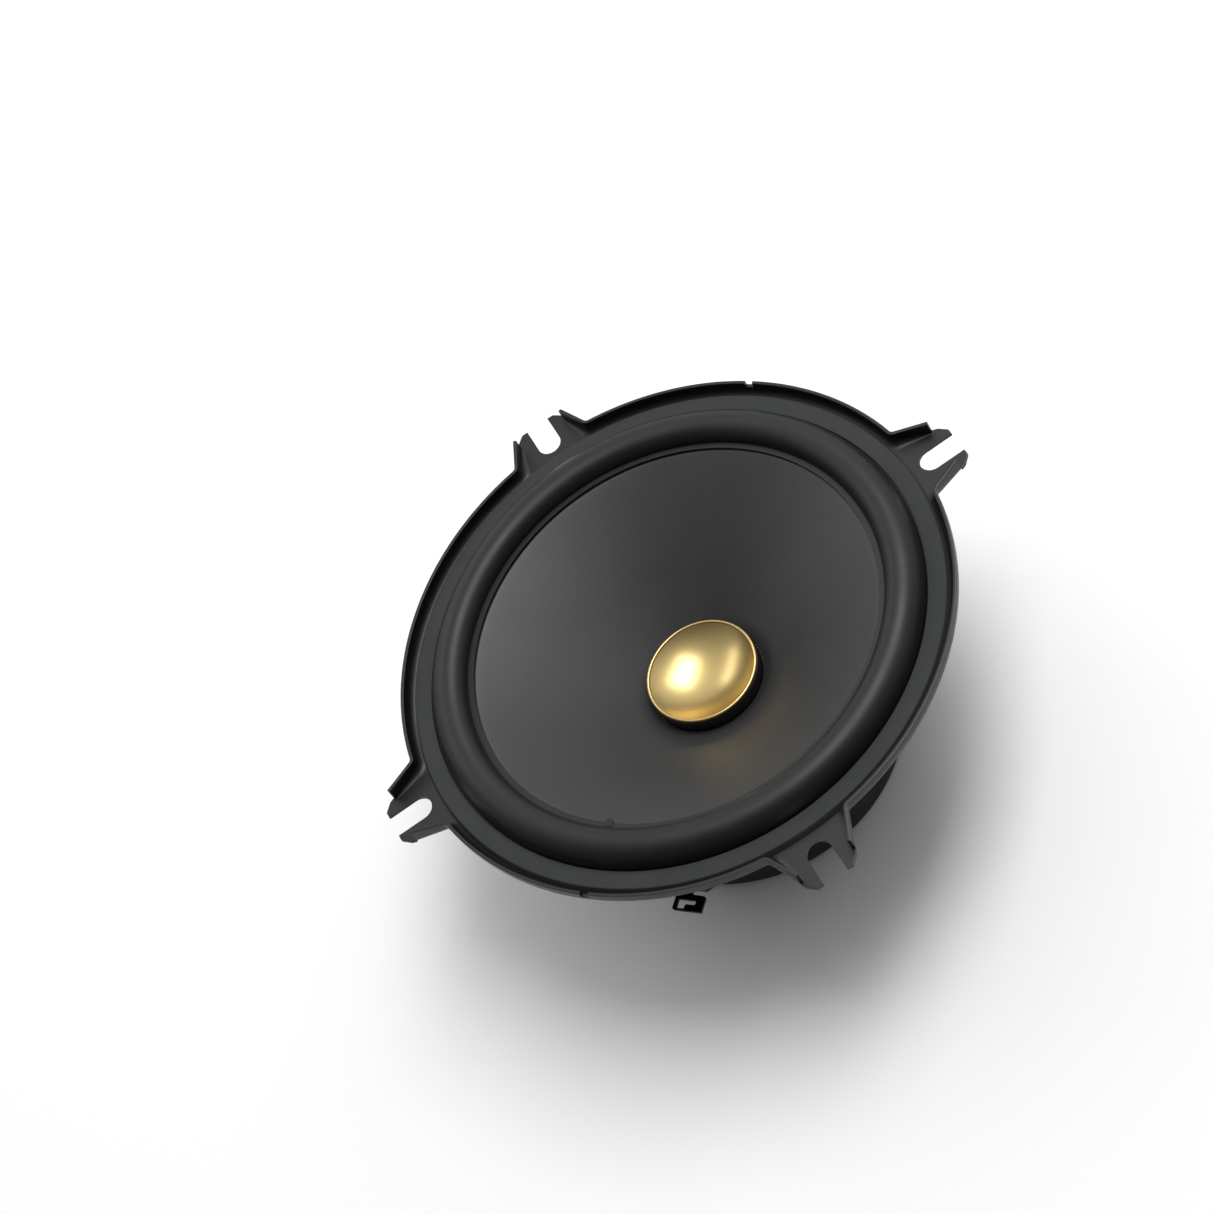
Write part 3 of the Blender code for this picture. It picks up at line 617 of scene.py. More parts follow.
# Injection-moulded polypropylene filled with mica: dark grey satin with tiny flakes
MICA_POLYMER = Flecked("mica_filled_polypropylene", "#2a2a2a", "#2f2f2f", 0.44, 0.03,
                       cloud=16.0, grain=0.4, relief=0.003, fleck="#585856", flake=0.3, share=0.25)
# Deep-drawn aluminium, polished and gold anodised: clear warm reflections a little softened
GOLD_ANODISED = Finish("gold_anodised_drawn_aluminium", "#cdb57c", "#c9b076", 0.30, 0.012, metallic=1.0,
                       cloud=6.0, grain=0.6, relief=0.0004)
# Heat-resistant film wound into a tube: plain black with a low sheen
BLACK_FILM = Finish("black_wound_film", "#0a0a0a", "#0f0f0f", 0.48, 0.05, grain=0.4, relief=0.006)
# Enamelled round copper wire: bright orange-brown under clear varnish
ENAMELLED_COPPER = Finish("enamelled_copper_wire", "#c8703f", "#a9552c", 0.27, 0.05, metallic=1.0,
                          cloud=3.0, grain=0.4, relief=0.003)
# Cotton cloth pressed with phenolic resin: straw brown, its weave still open; the darker brown is painted
# shade in the gaps between threads
TREATED_CLOTH = Woven("phenolic_treated_cotton", "#c39b58", "#8a6730", 0.80, 0.06, specular=0.3, relief=0.12)
# Electroplated zinc on turned steel: cool grey metal with faint yellow clouds
ZINC_PLATE = Finish("zinc_plated_turned_steel", "#b9bcc0", "#aaa99f", 0.33, 0.07, metallic=1.0,
                    cloud=5.0, grain=0.7, relief=0.006)
# Sintered and ground ferrite: charcoal grey with a dry, slightly sparkling grain
FERRITE = Finish("ground_sintered_ferrite", "#333335", "#3d3d40", 0.62, 0.08, cloud=3.0, grain=0.25,
                 relief=0.03)
# Moulded rubber cover: satin black with a fine leathery mould texture
COVER_RUBBER = Finish("moulded_rubber_cover", "#0e0e0f", "#141415", 0.50, 0.07, cloud=8.0, grain=0.6,
                      relief=0.03)
# Laminated paper board, pressed with resin: brown-black with fibres under the gloss; the lighter brown is
# painted light on the raised fibres
FIBRE_BOARD = Fibrous("laminated_paper_board", "#1a1412", "#2a201b", 0.55, 0.06, relief=0.012, fibre=0.4)
# Blackened spring steel: near-black metal with a soft grey shine on its faces
BLACKENED_STEEL = Finish("blackened_steel_blade", "#2d2d2f", "#232325", 0.34, 0.06, metallic=1.0,
                         cloud=2.5, grain=0.4, relief=0.008)
# Tinned copper tinsel, laid in strands: dull straw-coloured metal
TINSEL = Finish("tinned_copper_tinsel", "#cbbd9d", "#a88f63", 0.40, 0.08, metallic=1.0, cloud=0.8,
                grain=0.15, relief=0.01)
# Hand soldering: smooth bright tin with a slightly frosted skin
SOLDER = Finish("soldered_tin_joint", "#c4c5c6", "#aaabac", 0.28, 0.08, metallic=1.0, cloud=0.7,
                grain=0.2, relief=0.01)
# Matt studio paper: even, pale and without gloss
STUDIO_PAPER = Finish("matt_studio_paper", "#fafaf9", "#f8f8f7", 0.90, 0.04, specular=0.2, cloud=60.0,
                      grain=0.8, relief=0.01)


# ---- geometry node recipes ---------------------------------------------------------------


class Recipe:
    """A Geometry Nodes tree with named inputs, run once on a carrier and kept as a plain mesh."""

    def __init__(self, name: str, values: dict[str, float]) -> None:
        """Start the tree with one input for each value.

        Args:
            name: Name of the tree.
            values: Value of each input by name; whole numbers make integer inputs.
        """
        self.values = values
        self.tree = bpy.data.node_groups.new(name, "GeometryNodeTree")
        face = self.tree.interface
        face.new_socket("Geometry", in_out="INPUT", socket_type="NodeSocketGeometry")
        for label, value in values.items():
            kind = "NodeSocketInt" if isinstance(value, int) else "NodeSocketFloat"
            face.new_socket(label, in_out="INPUT", socket_type=kind)
        face.new_socket("Material", in_out="INPUT", socket_type="NodeSocketMaterial")
        face.new_socket("Geometry", in_out="OUTPUT", socket_type="NodeSocketGeometry")
        self.given = self.tree.nodes.new("NodeGroupInput").outputs

    def add(self, kind: str, inputs: Inputs = (), **settings: object) -> Node:
        """Add a node to this tree, as add() does."""
        return add(self.tree, kind, inputs, **settings)

    def run(self, name: str, shape: Node, carrier: Mesh,
            finish: Finish) -> Mesh:
        """End the tree, run it on a carrier and keep the result.

        Args:
            name: Name of the finished mesh.
            shape: Node whose geometry is the result.
            carrier: Mesh that the tree starts from.
            finish: Finish that the tree sets.

        Returns:
            The finished mesh.
        """
        real = self.add("GeometryNodeRealizeInstances", [shape])
        coated = self.add("GeometryNodeSetMaterial", {"Geometry": real, "Material": self.given["Material"]})
        self.add("NodeGroupOutput", [coated])
        piece = new_object(name, carrier)
        modifier = piece.modifiers.new(self.tree.name, "NODES")
        modifier.node_group = self.tree
        values = {**self.values, "Material": finish.material()}
        for item in self.tree.interface.items_tree:
            if item.in_out == "INPUT" and item.name in values:
                modifier[item.identifier] = values[item.name]
        return closed_up(baked(piece))


def point_mesh(name: str, places: Sequence[Place], joined: bool = False) -> Mesh:
    """Mesh of points in millimetres, joined by edges in their order if asked."""
    mesh = bpy.data.meshes.new(name)
    edges = [(n, n + 1) for n in range(len(places) - 1)] if joined else []
    mesh.from_pydata([Vector(place) * MM for place in places], edges, [])
    return mesh


class SheetRing(Recipe):
    """A ring of even sheet whose section follows a rule along its width."""

    STEPS = 64  # along the width

    def section(self) -> tuple[Node, Node]:
        """Share of the width, and which face of the sheet, for each point of a grid.

        Returns:
            The share from the inner to the outer edge, and 0 on the top face or 1 on the lower face.
        """
        rows = 2 * (self.STEPS + 1)
        self.grid = self.add("GeometryNodeMeshGrid", [1.0, 1.0, self.given["Segments"], rows + 1])
        place = self.add("ShaderNodeSeparateXYZ", [self.add("GeometryNodeInputPosition")])
        round_share = self.add("ShaderNodeMath", [place.outputs[0], 0.5], operation="ADD")
        self.angle = self.add("ShaderNodeMath", [round_share, math.tau], operation="MULTIPLY")
        along = self.add("ShaderNodeMath", [place.outputs[1], 0.5], operation="ADD")
        row = self.add("ShaderNodeMath", [along, float(rows)], operation="MULTIPLY")
        row = self.add("ShaderNodeMath", [row], operation="ROUND")
        row = self.add("ShaderNodeMath", [row, float(rows)], operation="MODULO")
        face = self.add("ShaderNodeMath", [row, self.STEPS + 0.5], operation="GREATER_THAN")
        back = self.add("ShaderNodeMath", [rows - 1.0, row], operation="SUBTRACT")
        pair = self.add("ShaderNodeMix", [face, None, row, back])
        share = self.add("ShaderNodeMath", [pair, float(self.STEPS)], operation="DIVIDE")
        return share, face

    def close(self, name: str, radius: Node, height: Node,
              finish: Finish) -> Mesh:
        """Wrap the grid round the axis and run the tree.

        Args:
            name: Name of the mesh.
            radius: Radius of each point.
            height: Height of each point.
            finish: Finish of the ring.

        Returns:
            The finished mesh.
        """
        across = [self.add("ShaderNodeMath", [self.angle], operation=way) for way in ("COSINE", "SINE")]
        x, y = [self.add("ShaderNodeMath", [radius, way], operation="MULTIPLY") for way in across]
        where = self.add("ShaderNodeCombineXYZ", [x, y, height])
        bent = self.add("GeometryNodeSetPosition", {"Geometry": self.grid, "Position": where})
        closed = self.add("GeometryNodeMergeByDistance", {"Geometry": bent, "Distance": 1e-6})
        return self.run(name, closed, point_mesh(f"{name}_carrier", [(0.0, 0.0, 0.0)]), finish)


# ---- studio ------------------------------------------------------------------------------


@dataclass
class Lamp:
    """A soft square light that looks at the loudspeaker."""

    name: str
    towards: Place  # from the loudspeaker to the lamp
    distance: float
    size: Point  # across and along its height
    power: float


@dataclass
class Studio:
    """Pale floor, soft lights and the camera."""

    flange_height: float
    floor_half: float = 3000.0
    eye: Place = (284.88, -267.22, 498.34)  # from the middle of the flange
    right: Place = (0.89065, 0.27681, -0.36072)
    up: Place = (-0.06563, 0.86328, 0.50043)
    back: Place = (0.44993, -0.42204, 0.78705)
    lens: float = 84.3
    sensor: float = 36.0
    shift: Point = (-0.0562, 0.0225)
    sky_towards: Place = (-0.30, 0.75, 0.59)  # the bright side of the room
    sky_range: Point = (0.14, 0.95)  # strength away from it and towards it
    lamps: list[Lamp] = field(default_factory=lambda: [
        Lamp("overhead_softbox", (0.10, 0.33, 0.94), 900.0, (400.0, 700.0), 5.6),
        Lamp("side_strip", (-0.80, 0.16, 0.56), 900.0, (190.0, 600.0), 0.8),
    ])

    def build(self) -> None:
        """Make the floor, the lights and the camera."""
        self.lay_floor()
        self.light()
        self.set_camera()

    def lay_floor(self) -> None:
        """Pale paper under the loudspeaker."""
        half = self.floor_half
        outline = [(-half, -half), (half, -half), (half, half), (-half, half)]
        low = CAD_BOX[0].z / MM
        floor = new_object("studio_floor", extruded("studio_floor", [outline], low - 2.0, low))
        floor.data.materials.append(STUDIO_PAPER.material())

    def light(self) -> None:
        """Soft lamps and an even pale sky."""
        world = bpy.data.worlds.new("studio_sky")
        world.use_nodes = True
        tree = world.node_tree
        sky = tree.nodes["Background"]
        sky.inputs["Color"].default_value = linear("#f6f7f8")
        place = add(tree, "ShaderNodeTexCoord").outputs["Generated"]
        side = add(tree, "ShaderNodeVectorMath", [place, self.sky_towards], operation="DOT_PRODUCT")
        light = add(tree, "ShaderNodeMapRange", [side.outputs["Value"], -0.1, 0.8, *self.sky_range])
        tree.links.new(light.outputs[0], sky.inputs["Strength"])
        bpy.context.scene.world = world
        middle = Vector((0.0, 0.0, self.flange_height))
        for lamp in self.lamps:
            data = bpy.data.lights.new(lamp.name, "AREA")
            data.shape = "RECTANGLE"
            data.size, data.size_y = lamp.size[0] * MM, lamp.size[1] * MM
            data.energy = lamp.power
            towards = Vector(lamp.towards).normalized()
            light = bpy.data.objects.new(lamp.name, data)
            light.location = (middle + towards * lamp.distance) * MM
            light.rotation_mode = "QUATERNION"
            light.rotation_quaternion = aimed(towards)
            bpy.context.scene.collection.objects.link(light)

    def set_camera(self) -> None:
        """Camera above and to the right, a little rolled."""
        data = bpy.data.cameras.new("studio_camera")
        data.sensor_width, data.lens = self.sensor, self.lens
        data.shift_x, data.shift_y = self.shift
        camera = bpy.data.objects.new("studio_camera", data)
        place = (Vector((0.0, 0.0, self.flange_height)) + Vector(self.eye)) * MM
        turn = Matrix((self.right, self.up, self.back)).transposed().to_4x4()
        camera.matrix_world = Matrix.Translation(place) @ turn
        bpy.context.scene.collection.objects.link(camera)
        scene = bpy.context.scene
        scene.camera = camera
        scene.view_settings.view_transform = "Standard"


# ---- basket ------------------------------------------------------------------------------


@dataclass
class Station:
    """One place on the basket's edge, where its section stands."""

    point: Vector
    inward: Vector
    lip: float  # height of the turned-up lip
    reach: float  # how far the edge's own section goes inwards


@dataclass
class Basket:
    """Pressed steel basket: lip, flange with four forked ears, throat, spokes, shelf, cup and bottom."""

    sheet: float = 0.8
    edge: float = 0.12  # rounding of the sheet's edges
    rim_radius: float = 66.0
    lip_height: float = 3.5
    lip_bend: float = 2.0
    ear_bend: float = 0.3  # bend under the lip where it ends on an ear
    bare_edge: float = 0.45  # band along the edge where there is no lip
    throat_radius: float = 57.0
    throat_bend: float = 1.0
    throat_depth: float = 8.0
    shelf_radius: float = 31.3
    shelf_rise: float = 4.6
    cup_radius: float = 25.2
    bore_radius: float = 16.0
    form_bend: float = 1.6
    ear_half_width: float = 10.2
    ear_reach: float = 10.1
    ear_taper: float = 8.3
    tip_half_width: float = 6.3
    tip_chamfer: float = 1.9
    tip_rounding: float = 0.5
    lip_reach: float = 7.8
    root_rounding: float = 1.1
    slot_half_width: float = 2.9
    slot_reach: float = 3.0
    window_inner: float = 34.5
    window_outer: float = 54.0
    window_half_angle: float = 31.0
    window_corner: float = 3.0
    notch: Point = (2.0, 1.4)  # width and depth
    notch_cut: Point = (1.7, 1.0)  # inside and outside the rim
    tongue_rounding: float = 0.8
    bead_half_angle: float = 6.5
    bead_depth: float = 0.9
    tongue: Point = (8.0, 39.5)  # half width and reach
    rivet_circle: float = 20.6
    plate_hole: float = 1.65
    board_rivets: Point = (5.0, 36.25)
    board_hole: float = 1.35

    def __post_init__(self) -> None:
        """Heights, from the CAD basket."""
        low, high = extent("basket_frame")
        self.bottom = low.z
        self.top = high.z
        self.flange = self.top - self.lip_height
        self.shelf = self.bottom + self.shelf_rise

    def half_ear(self) -> list[Station]:
        """Edge from the middle of an ear's tip to halfway round to the next ear, in the ear's own axes."""
        rim, tip = self.rim_radius, self.rim_radius + self.ear_reach
        start = Vector((math.sqrt(rim**2 - self.ear_half_width**2), self.ear_half_width))
        end = Vector((rim + self.ear_taper, self.tip_half_width))
        run = (end - start).normalized()
        away = Vector((-run.y, run.x))
        base = start + away * self.root_rounding
        reach = base.dot(run)
        along = math.sqrt(reach**2 - base.length_squared + (rim + self.root_rounding) ** 2) - reach
        centre = base + run * along
        touch = start + run * along
        cut = start + run * (self.lip_reach / run.x)

        rounding = self.tip_rounding
        corners = [(tip, 0.0, 0.0), (tip, self.tip_half_width - self.tip_chamfer, rounding),
                   (end.x, end.y, rounding), (*(cut + run * 0.12), 0.0)]
        plain = finer(rounded(corners, closed=False, steps=3), 0.8)
        stations = []
        for point, side in zip(plain, left_sides(plain)):
            near = max(0.0, 1.0 - (Vector(point) - cut).length / (end - cut).length)
            reach = self.bare_edge + (self.sheet + self.ear_bend - self.bare_edge) * near
            stations.append(Station(Vector(point), side.normalized(), 0.0, reach))
        lipped = finer([tuple(cut), tuple(touch)], 0.5)
        for n, point in enumerate(lipped):
            share = n / (len(lipped) - 1)
            reach = self.sheet + self.ear_bend + (self.lip_bend - self.ear_bend) * share
            stations.append(Station(Vector(point), -away, self.lip_height, reach))
        full = self.sheet + self.lip_bend
        first, last = touch - centre, -centre.normalized() * self.root_rounding
        for n in range(1, 7):
            spoke = first.lerp(last, n / 6).normalized() * self.root_rounding
            stations.append(Station(centre + spoke, spoke.normalized(), self.lip_height, full))
        angle = math.atan2(centre.y, centre.x)
        steps = 32
        for n in range(1, steps + 1):
            turn = angle + (math.pi / 4 - angle) * n / steps
            spoke = Vector((math.cos(turn), math.sin(turn)))
            stations.append(Station(spoke * rim, -spoke, self.lip_height, full))
        return stations

    def edge_stations(self) -> list[Station]:
        """Stations all the way round, against the clock."""
        half = self.half_ear()
        other = [Station(Vector((s.point.x, -s.point.y)), Vector((s.inward.x, -s.inward.y)), s.lip, s.reach)
                 for s in reversed(half[1:-1])]
        around = []
        for angle in EAR_ANGLES:
            turn = Matrix.Rotation(math.radians(angle), 2)
            around += [Station(turn @ s.point, turn @ s.inward, s.lip, s.reach) for s in other + half]
        return around

    def rim_section(self, station: Station) -> tuple[list[Point], list[Point]]:
        """Section of the edge at a station, as distance inwards and height.

        Args:
            station: Where the section stands.

        Returns:
            The upper face from the edge inwards, and the lower face from the edge inwards.
        """
        sheet, edge, floor = self.sheet, self.edge, self.flange
        foot, bend = station.reach, station.reach - sheet
        if station.lip:
            top, turn = floor + station.lip, floor + bend
            upper = [(sheet / 2, top), (sheet - edge, top), (sheet - edge * 0.3, top - edge * 0.3),
                     (sheet, top - edge)]
            upper += [(sheet, top - edge + (turn - top + edge) * n / 4) for n in (1, 2, 3)]
            upper += arc((foot, turn), bend, 180.0, 270.0, 6)
            lower = [(edge, top), (edge * 0.3, top - edge * 0.3), (0.0, top - edge)]
            lower += [(0.0, top - edge + (turn - top + edge) * n / 4) for n in (1, 2, 3)]
            lower += arc((foot, turn), foot, 180.0, 270.0, 6)
            return upper, lower
        upper = [(edge * 2 + (foot - edge * 2) * n / 13, floor) for n in range(14)]
        base = floor - sheet
        lower = [(edge, floor), (edge * 0.3, floor - edge * 0.3), (0.0, floor - edge),
                 (0.0, floor - sheet / 2), (0.0, base + edge), (edge * 0.3, base + edge * 0.3),
                 (edge, base)]
        lower += [(edge + (foot - edge) * n / 6, base) for n in range(1, 7)]
        return upper, lower

    def inner_path(self) -> list[Point]:
        """Upper face from the flange in to the bore, as radius and height."""
        throat, shelf, bend = self.throat_radius, self.shelf, self.form_bend
        wall_top = self.flange - self.throat_depth
        corners = [(throat + self.throat_bend + 0.2, self.flange, 0.0),
                   (throat, self.flange, self.throat_bend), (throat, wall_top, bend),
                   (self.shelf_radius, shelf, bend), (self.cup_radius, shelf, bend),
                   (self.cup_radius, self.bottom + self.sheet, self.throat_bend),
                   (self.bore_radius, self.bottom + self.sheet, 0.0)]
        return finer(rounded(corners, closed=False), 2.0)

    def bead(self, angle: float, radius: float) -> float:
        """Depth of the stiffening bead that is pressed into each spoke.

        Args:
            angle: Angle about the axis in degrees.
            radius: Distance from the axis.

        Returns:
            Depth of the bead there.
        """
        nearest = min(abs((angle - centre + 180.0) % 360.0 - 180.0) for centre in EAR_ANGLES)
        across = max(0.0, 1.0 - (nearest / self.bead_half_angle) ** 2)
        inner, outer = self.shelf_radius + 2.0, self.throat_radius - 3.0
        share = (radius - inner) / (outer - inner)
        along = max(0.0, 1.0 - abs(2.0 * share - 1.0) ** 5) if 0.0 < share < 1.0 else 0.0
        return self.bead_depth * across**1.5 * along

    def pressing(self) -> Mesh:
        """The basket before it is pierced."""
        path = self.inner_path()
        sides = left_sides(path)
        gaps = 4
        places: list[Place] = []
        rings: list[list[int]] = []
        for station in self.edge_stations():
            angle = math.degrees(math.atan2(station.point.y, station.point.x))
            spoke = Vector((math.cos(math.radians(angle)), math.sin(math.radians(angle))))
            faces = []
            for section, offset in zip(self.rim_section(station), (0.0, self.sheet)):
                line = [(*(station.point + station.inward * reach), height) for reach, height in section]
                inner = []
                for (radius, height), side in zip(path, sides):
                    depth = offset + self.bead(angle, radius)
                    inner.append((*(spoke * (radius + side.x * depth)), height + side.y * depth))
                last, first = Vector(line[-1]), Vector(inner[0])
                line += [tuple(last.lerp(first, n / gaps)) for n in range(1, gaps)]
                faces.append(line + inner)
            loop = faces[0] + faces[1][::-1]
            rings.append(list(range(len(places), len(places) + len(loop))))
            places += loop
        return solid("basket_frame_shell", places, ring_faces(rings, closed=True))

    def window(self, middle: float) -> list[Point]:
        """Outline of the opening between two spokes."""
        half, corner = self.window_half_angle, self.window_corner
        outline = []
        for radius, way in ((self.window_outer, 1.0), (self.window_inner, -1.0)):
            turn = math.degrees(corner / radius)
            inset = radius - way * corner
            side = half - turn
            run = arc((0.0, 0.0), radius, middle - way * side, middle + way * side, 40)
            begin, end = middle - way * half, middle + way * half
            first = Vector(polar(inset, begin))
            last = Vector(polar(inset, end))
            lead = [self.eased(first, Vector(run[0]), begin, radius, t) for t in (0.0, 0.25, 0.5, 0.75)]
            tail = [self.eased(last, Vector(run[-1]), end, radius, t) for t in (0.75, 0.5, 0.25, 0.0)]
            outline += lead + run + tail
        return outline

    @staticmethod
    def eased(first: Vector, last: Vector, angle: float, radius: float, share: float) -> Point:
        """Point of a rounded window corner, between its two ends and past the sharp corner between."""
        sharp = Vector((radius * math.cos(math.radians(angle)), radius * math.sin(math.radians(angle))))
        return tuple(first.lerp(sharp, share).lerp(sharp.lerp(last, share), share))

    def piercings(self) -> list[Mesh]:
        """Tools that pierce the windows, the screw slots, the notches and the bottom's rivet holes."""
        slope = (self.flange - self.throat_depth - self.shelf) / (self.throat_radius - self.shelf_radius)
        floor = self.shelf + (slope * (self.window_inner - self.shelf_radius) - self.sheet) / 2
        windows = [self.window(90.0 * n) for n in range(4)]
        centre = self.rim_radius + self.slot_reach
        end = self.rim_radius + self.ear_reach * 1.5
        slot = [(end, self.slot_half_width), *arc((centre, 0.0), self.slot_half_width, 90.0, 270.0, 24),
                (end, -self.slot_half_width)]
        slots = [[tuple(Matrix.Rotation(math.radians(a), 2) @ Vector(p)) for p in slot]
                 for a in EAR_ANGLES]
        half = self.notch[0] / 2
        inside, outside = self.rim_radius - self.notch_cut[0], self.rim_radius + self.notch_cut[1]
        notches = [[(-half, way * inside), (half, way * inside),
                    (half, way * outside), (-half, way * outside)]
                   for way in (1.0, -1.0)]
        holes = [drilled(polar(self.rivet_circle, angle), self.plate_hole) for angle in EAR_ANGLES]
        return [
            extruded("windows", windows, floor, self.flange - self.throat_depth + self.sheet),
            extruded("slots", slots, self.flange - 2.0, self.top + 2.0),
            extruded("notches", notches, self.top - self.notch[1], self.top + 2.0),
            extruded("rivet_holes", holes, self.bottom - 1.0, self.bottom + 2.0),
        ]

    def build(self) -> Piece:
        """Press the sheet, pierce it, and add the tongue that carries the terminal board."""
        shell = self.pressing()
        for tool in self.piercings():
            shell = combined(shell, tool, Join.CUT)
        half, reach = self.tongue
        root = self.shelf_radius - self.sheet
        bend = self.tongue_rounding
        outline = rounded([(-half, -root, 0.0), (-half, -reach, bend), (half, -reach, bend),
                           (half, -root, 0.0)])
        tongue = extruded("tongue", [outline], self.shelf - self.sheet + 0.05, self.shelf - 0.05)
        shell = combined(shell, tongue, Join.ADD)
        x, y = self.board_rivets
        holes = [drilled((side * x, -y), self.board_hole) for side in (-1.0, 1.0)]
        holes = extruded("tongue_holes", holes, self.shelf - 2.0, self.shelf + 1.0)
        shell = combined(shell, holes, Join.CUT)
        shell.name = "pressed_basket"
        return mount(shell, Body.CHASSIS, ELECTROCOAT, "black_paint", "basket_frame")


# ---- suspension --------------------------------------------------------------------------


class RollRing(SheetRing):
    """Half roll between two flat lands, one on the cone and one on the flange."""

    LAND_END = 4.0 / SheetRing.STEPS  # shares of the width where the roll starts and ends
    ROLL_END = 56.0 / SheetRing.STEPS

    def build(self, name: str, finish: Finish) -> Mesh:
        """Bend the sheet over the roll.

        Args:
            name: Name of the mesh.
            finish: Finish of the ring.

        Returns:
            The finished mesh.
        """
        given = self.given
        share, face = self.section()
        part = self.add("ShaderNodeMapRange", [share, self.LAND_END, self.ROLL_END, 0.0, 1.0])
        inner = self.add("ShaderNodeMapRange", [share, 0.0, self.LAND_END, 1.0, 0.0])
        outer = self.add("ShaderNodeMapRange", [share, self.ROLL_END, 1.0, 0.0, 1.0])
        under = self.add("ShaderNodeMath", [face, given["Thickness"]], operation="MULTIPLY")
        wide = self.add("ShaderNodeMath", [given["Roll Half Width"], under], operation="SUBTRACT")
        turn = self.add("ShaderNodeMath", [part, -math.pi, math.pi], operation="MULTIPLY_ADD")
        level = self.add("ShaderNodeMath", [turn], operation="COSINE")
        rise = self.add("ShaderNodeMath", [turn], operation="SINE")
        roll = self.add("ShaderNodeMath", [wide, level, given["Roll Middle"]], operation="MULTIPLY_ADD")
        first = self.add("ShaderNodeMath", [given["Roll Middle"], wide], operation="SUBTRACT")
        first = self.add("ShaderNodeMath", [given["Inner Radius"], first], operation="SUBTRACT")
        last = self.add("ShaderNodeMath", [given["Roll Middle"], wide], operation="ADD")
        last = self.add("ShaderNodeMath", [given["Outer Radius"], last], operation="SUBTRACT")
        radius = self.add("ShaderNodeMath", [inner, first, roll], operation="MULTIPLY_ADD")
        radius = self.add("ShaderNodeMath", [outer, last, radius], operation="MULTIPLY_ADD")
        base = self.add("ShaderNodeMix", [part, None, given["Inner Height"], given["Outer Height"]])
        base = self.add("ShaderNodeMath", [base, under], operation="SUBTRACT")
        height = self.add("ShaderNodeMath", [given["Roll Height"], rise, base], operation="MULTIPLY_ADD")
        return self.close(name, radius, height, finish)


class WaveRing(SheetRing):
    """Round waves between two flat lands, one on the coil's former and one on the basket's shelf."""

    def build(self, name: str, finish: Finish) -> Mesh:
        """Press the waves into the sheet.

        Args:
            name: Name of the mesh.
            finish: Finish of the ring.

        Returns:
            The finished mesh.
        """
        given = self.given
        share, face = self.section()
        radius = self.add("ShaderNodeMapRange",
                          [share, 0.0, 1.0, given["Inner Radius"], given["Outer Radius"]])
        part = self.add("ShaderNodeMapRange", [radius, given["Wave Start"], given["Wave End"], 0.0, 1.0])
        turns = self.add("ShaderNodeMath", [given["Waves"], math.tau], operation="MULTIPLY")
        turn = self.add("ShaderNodeMath", [part, turns], operation="MULTIPLY")
        rise = self.add("ShaderNodeMath", [turn], operation="SINE")
        under = self.add("ShaderNodeMath", [face, given["Thickness"]], operation="MULTIPLY")
        base = self.add("ShaderNodeMath", [given["Height"], under], operation="SUBTRACT")
        height = self.add("ShaderNodeMath", [given["Amplitude"], rise, base], operation="MULTIPLY_ADD")
        return self.close(name, radius, height, finish)


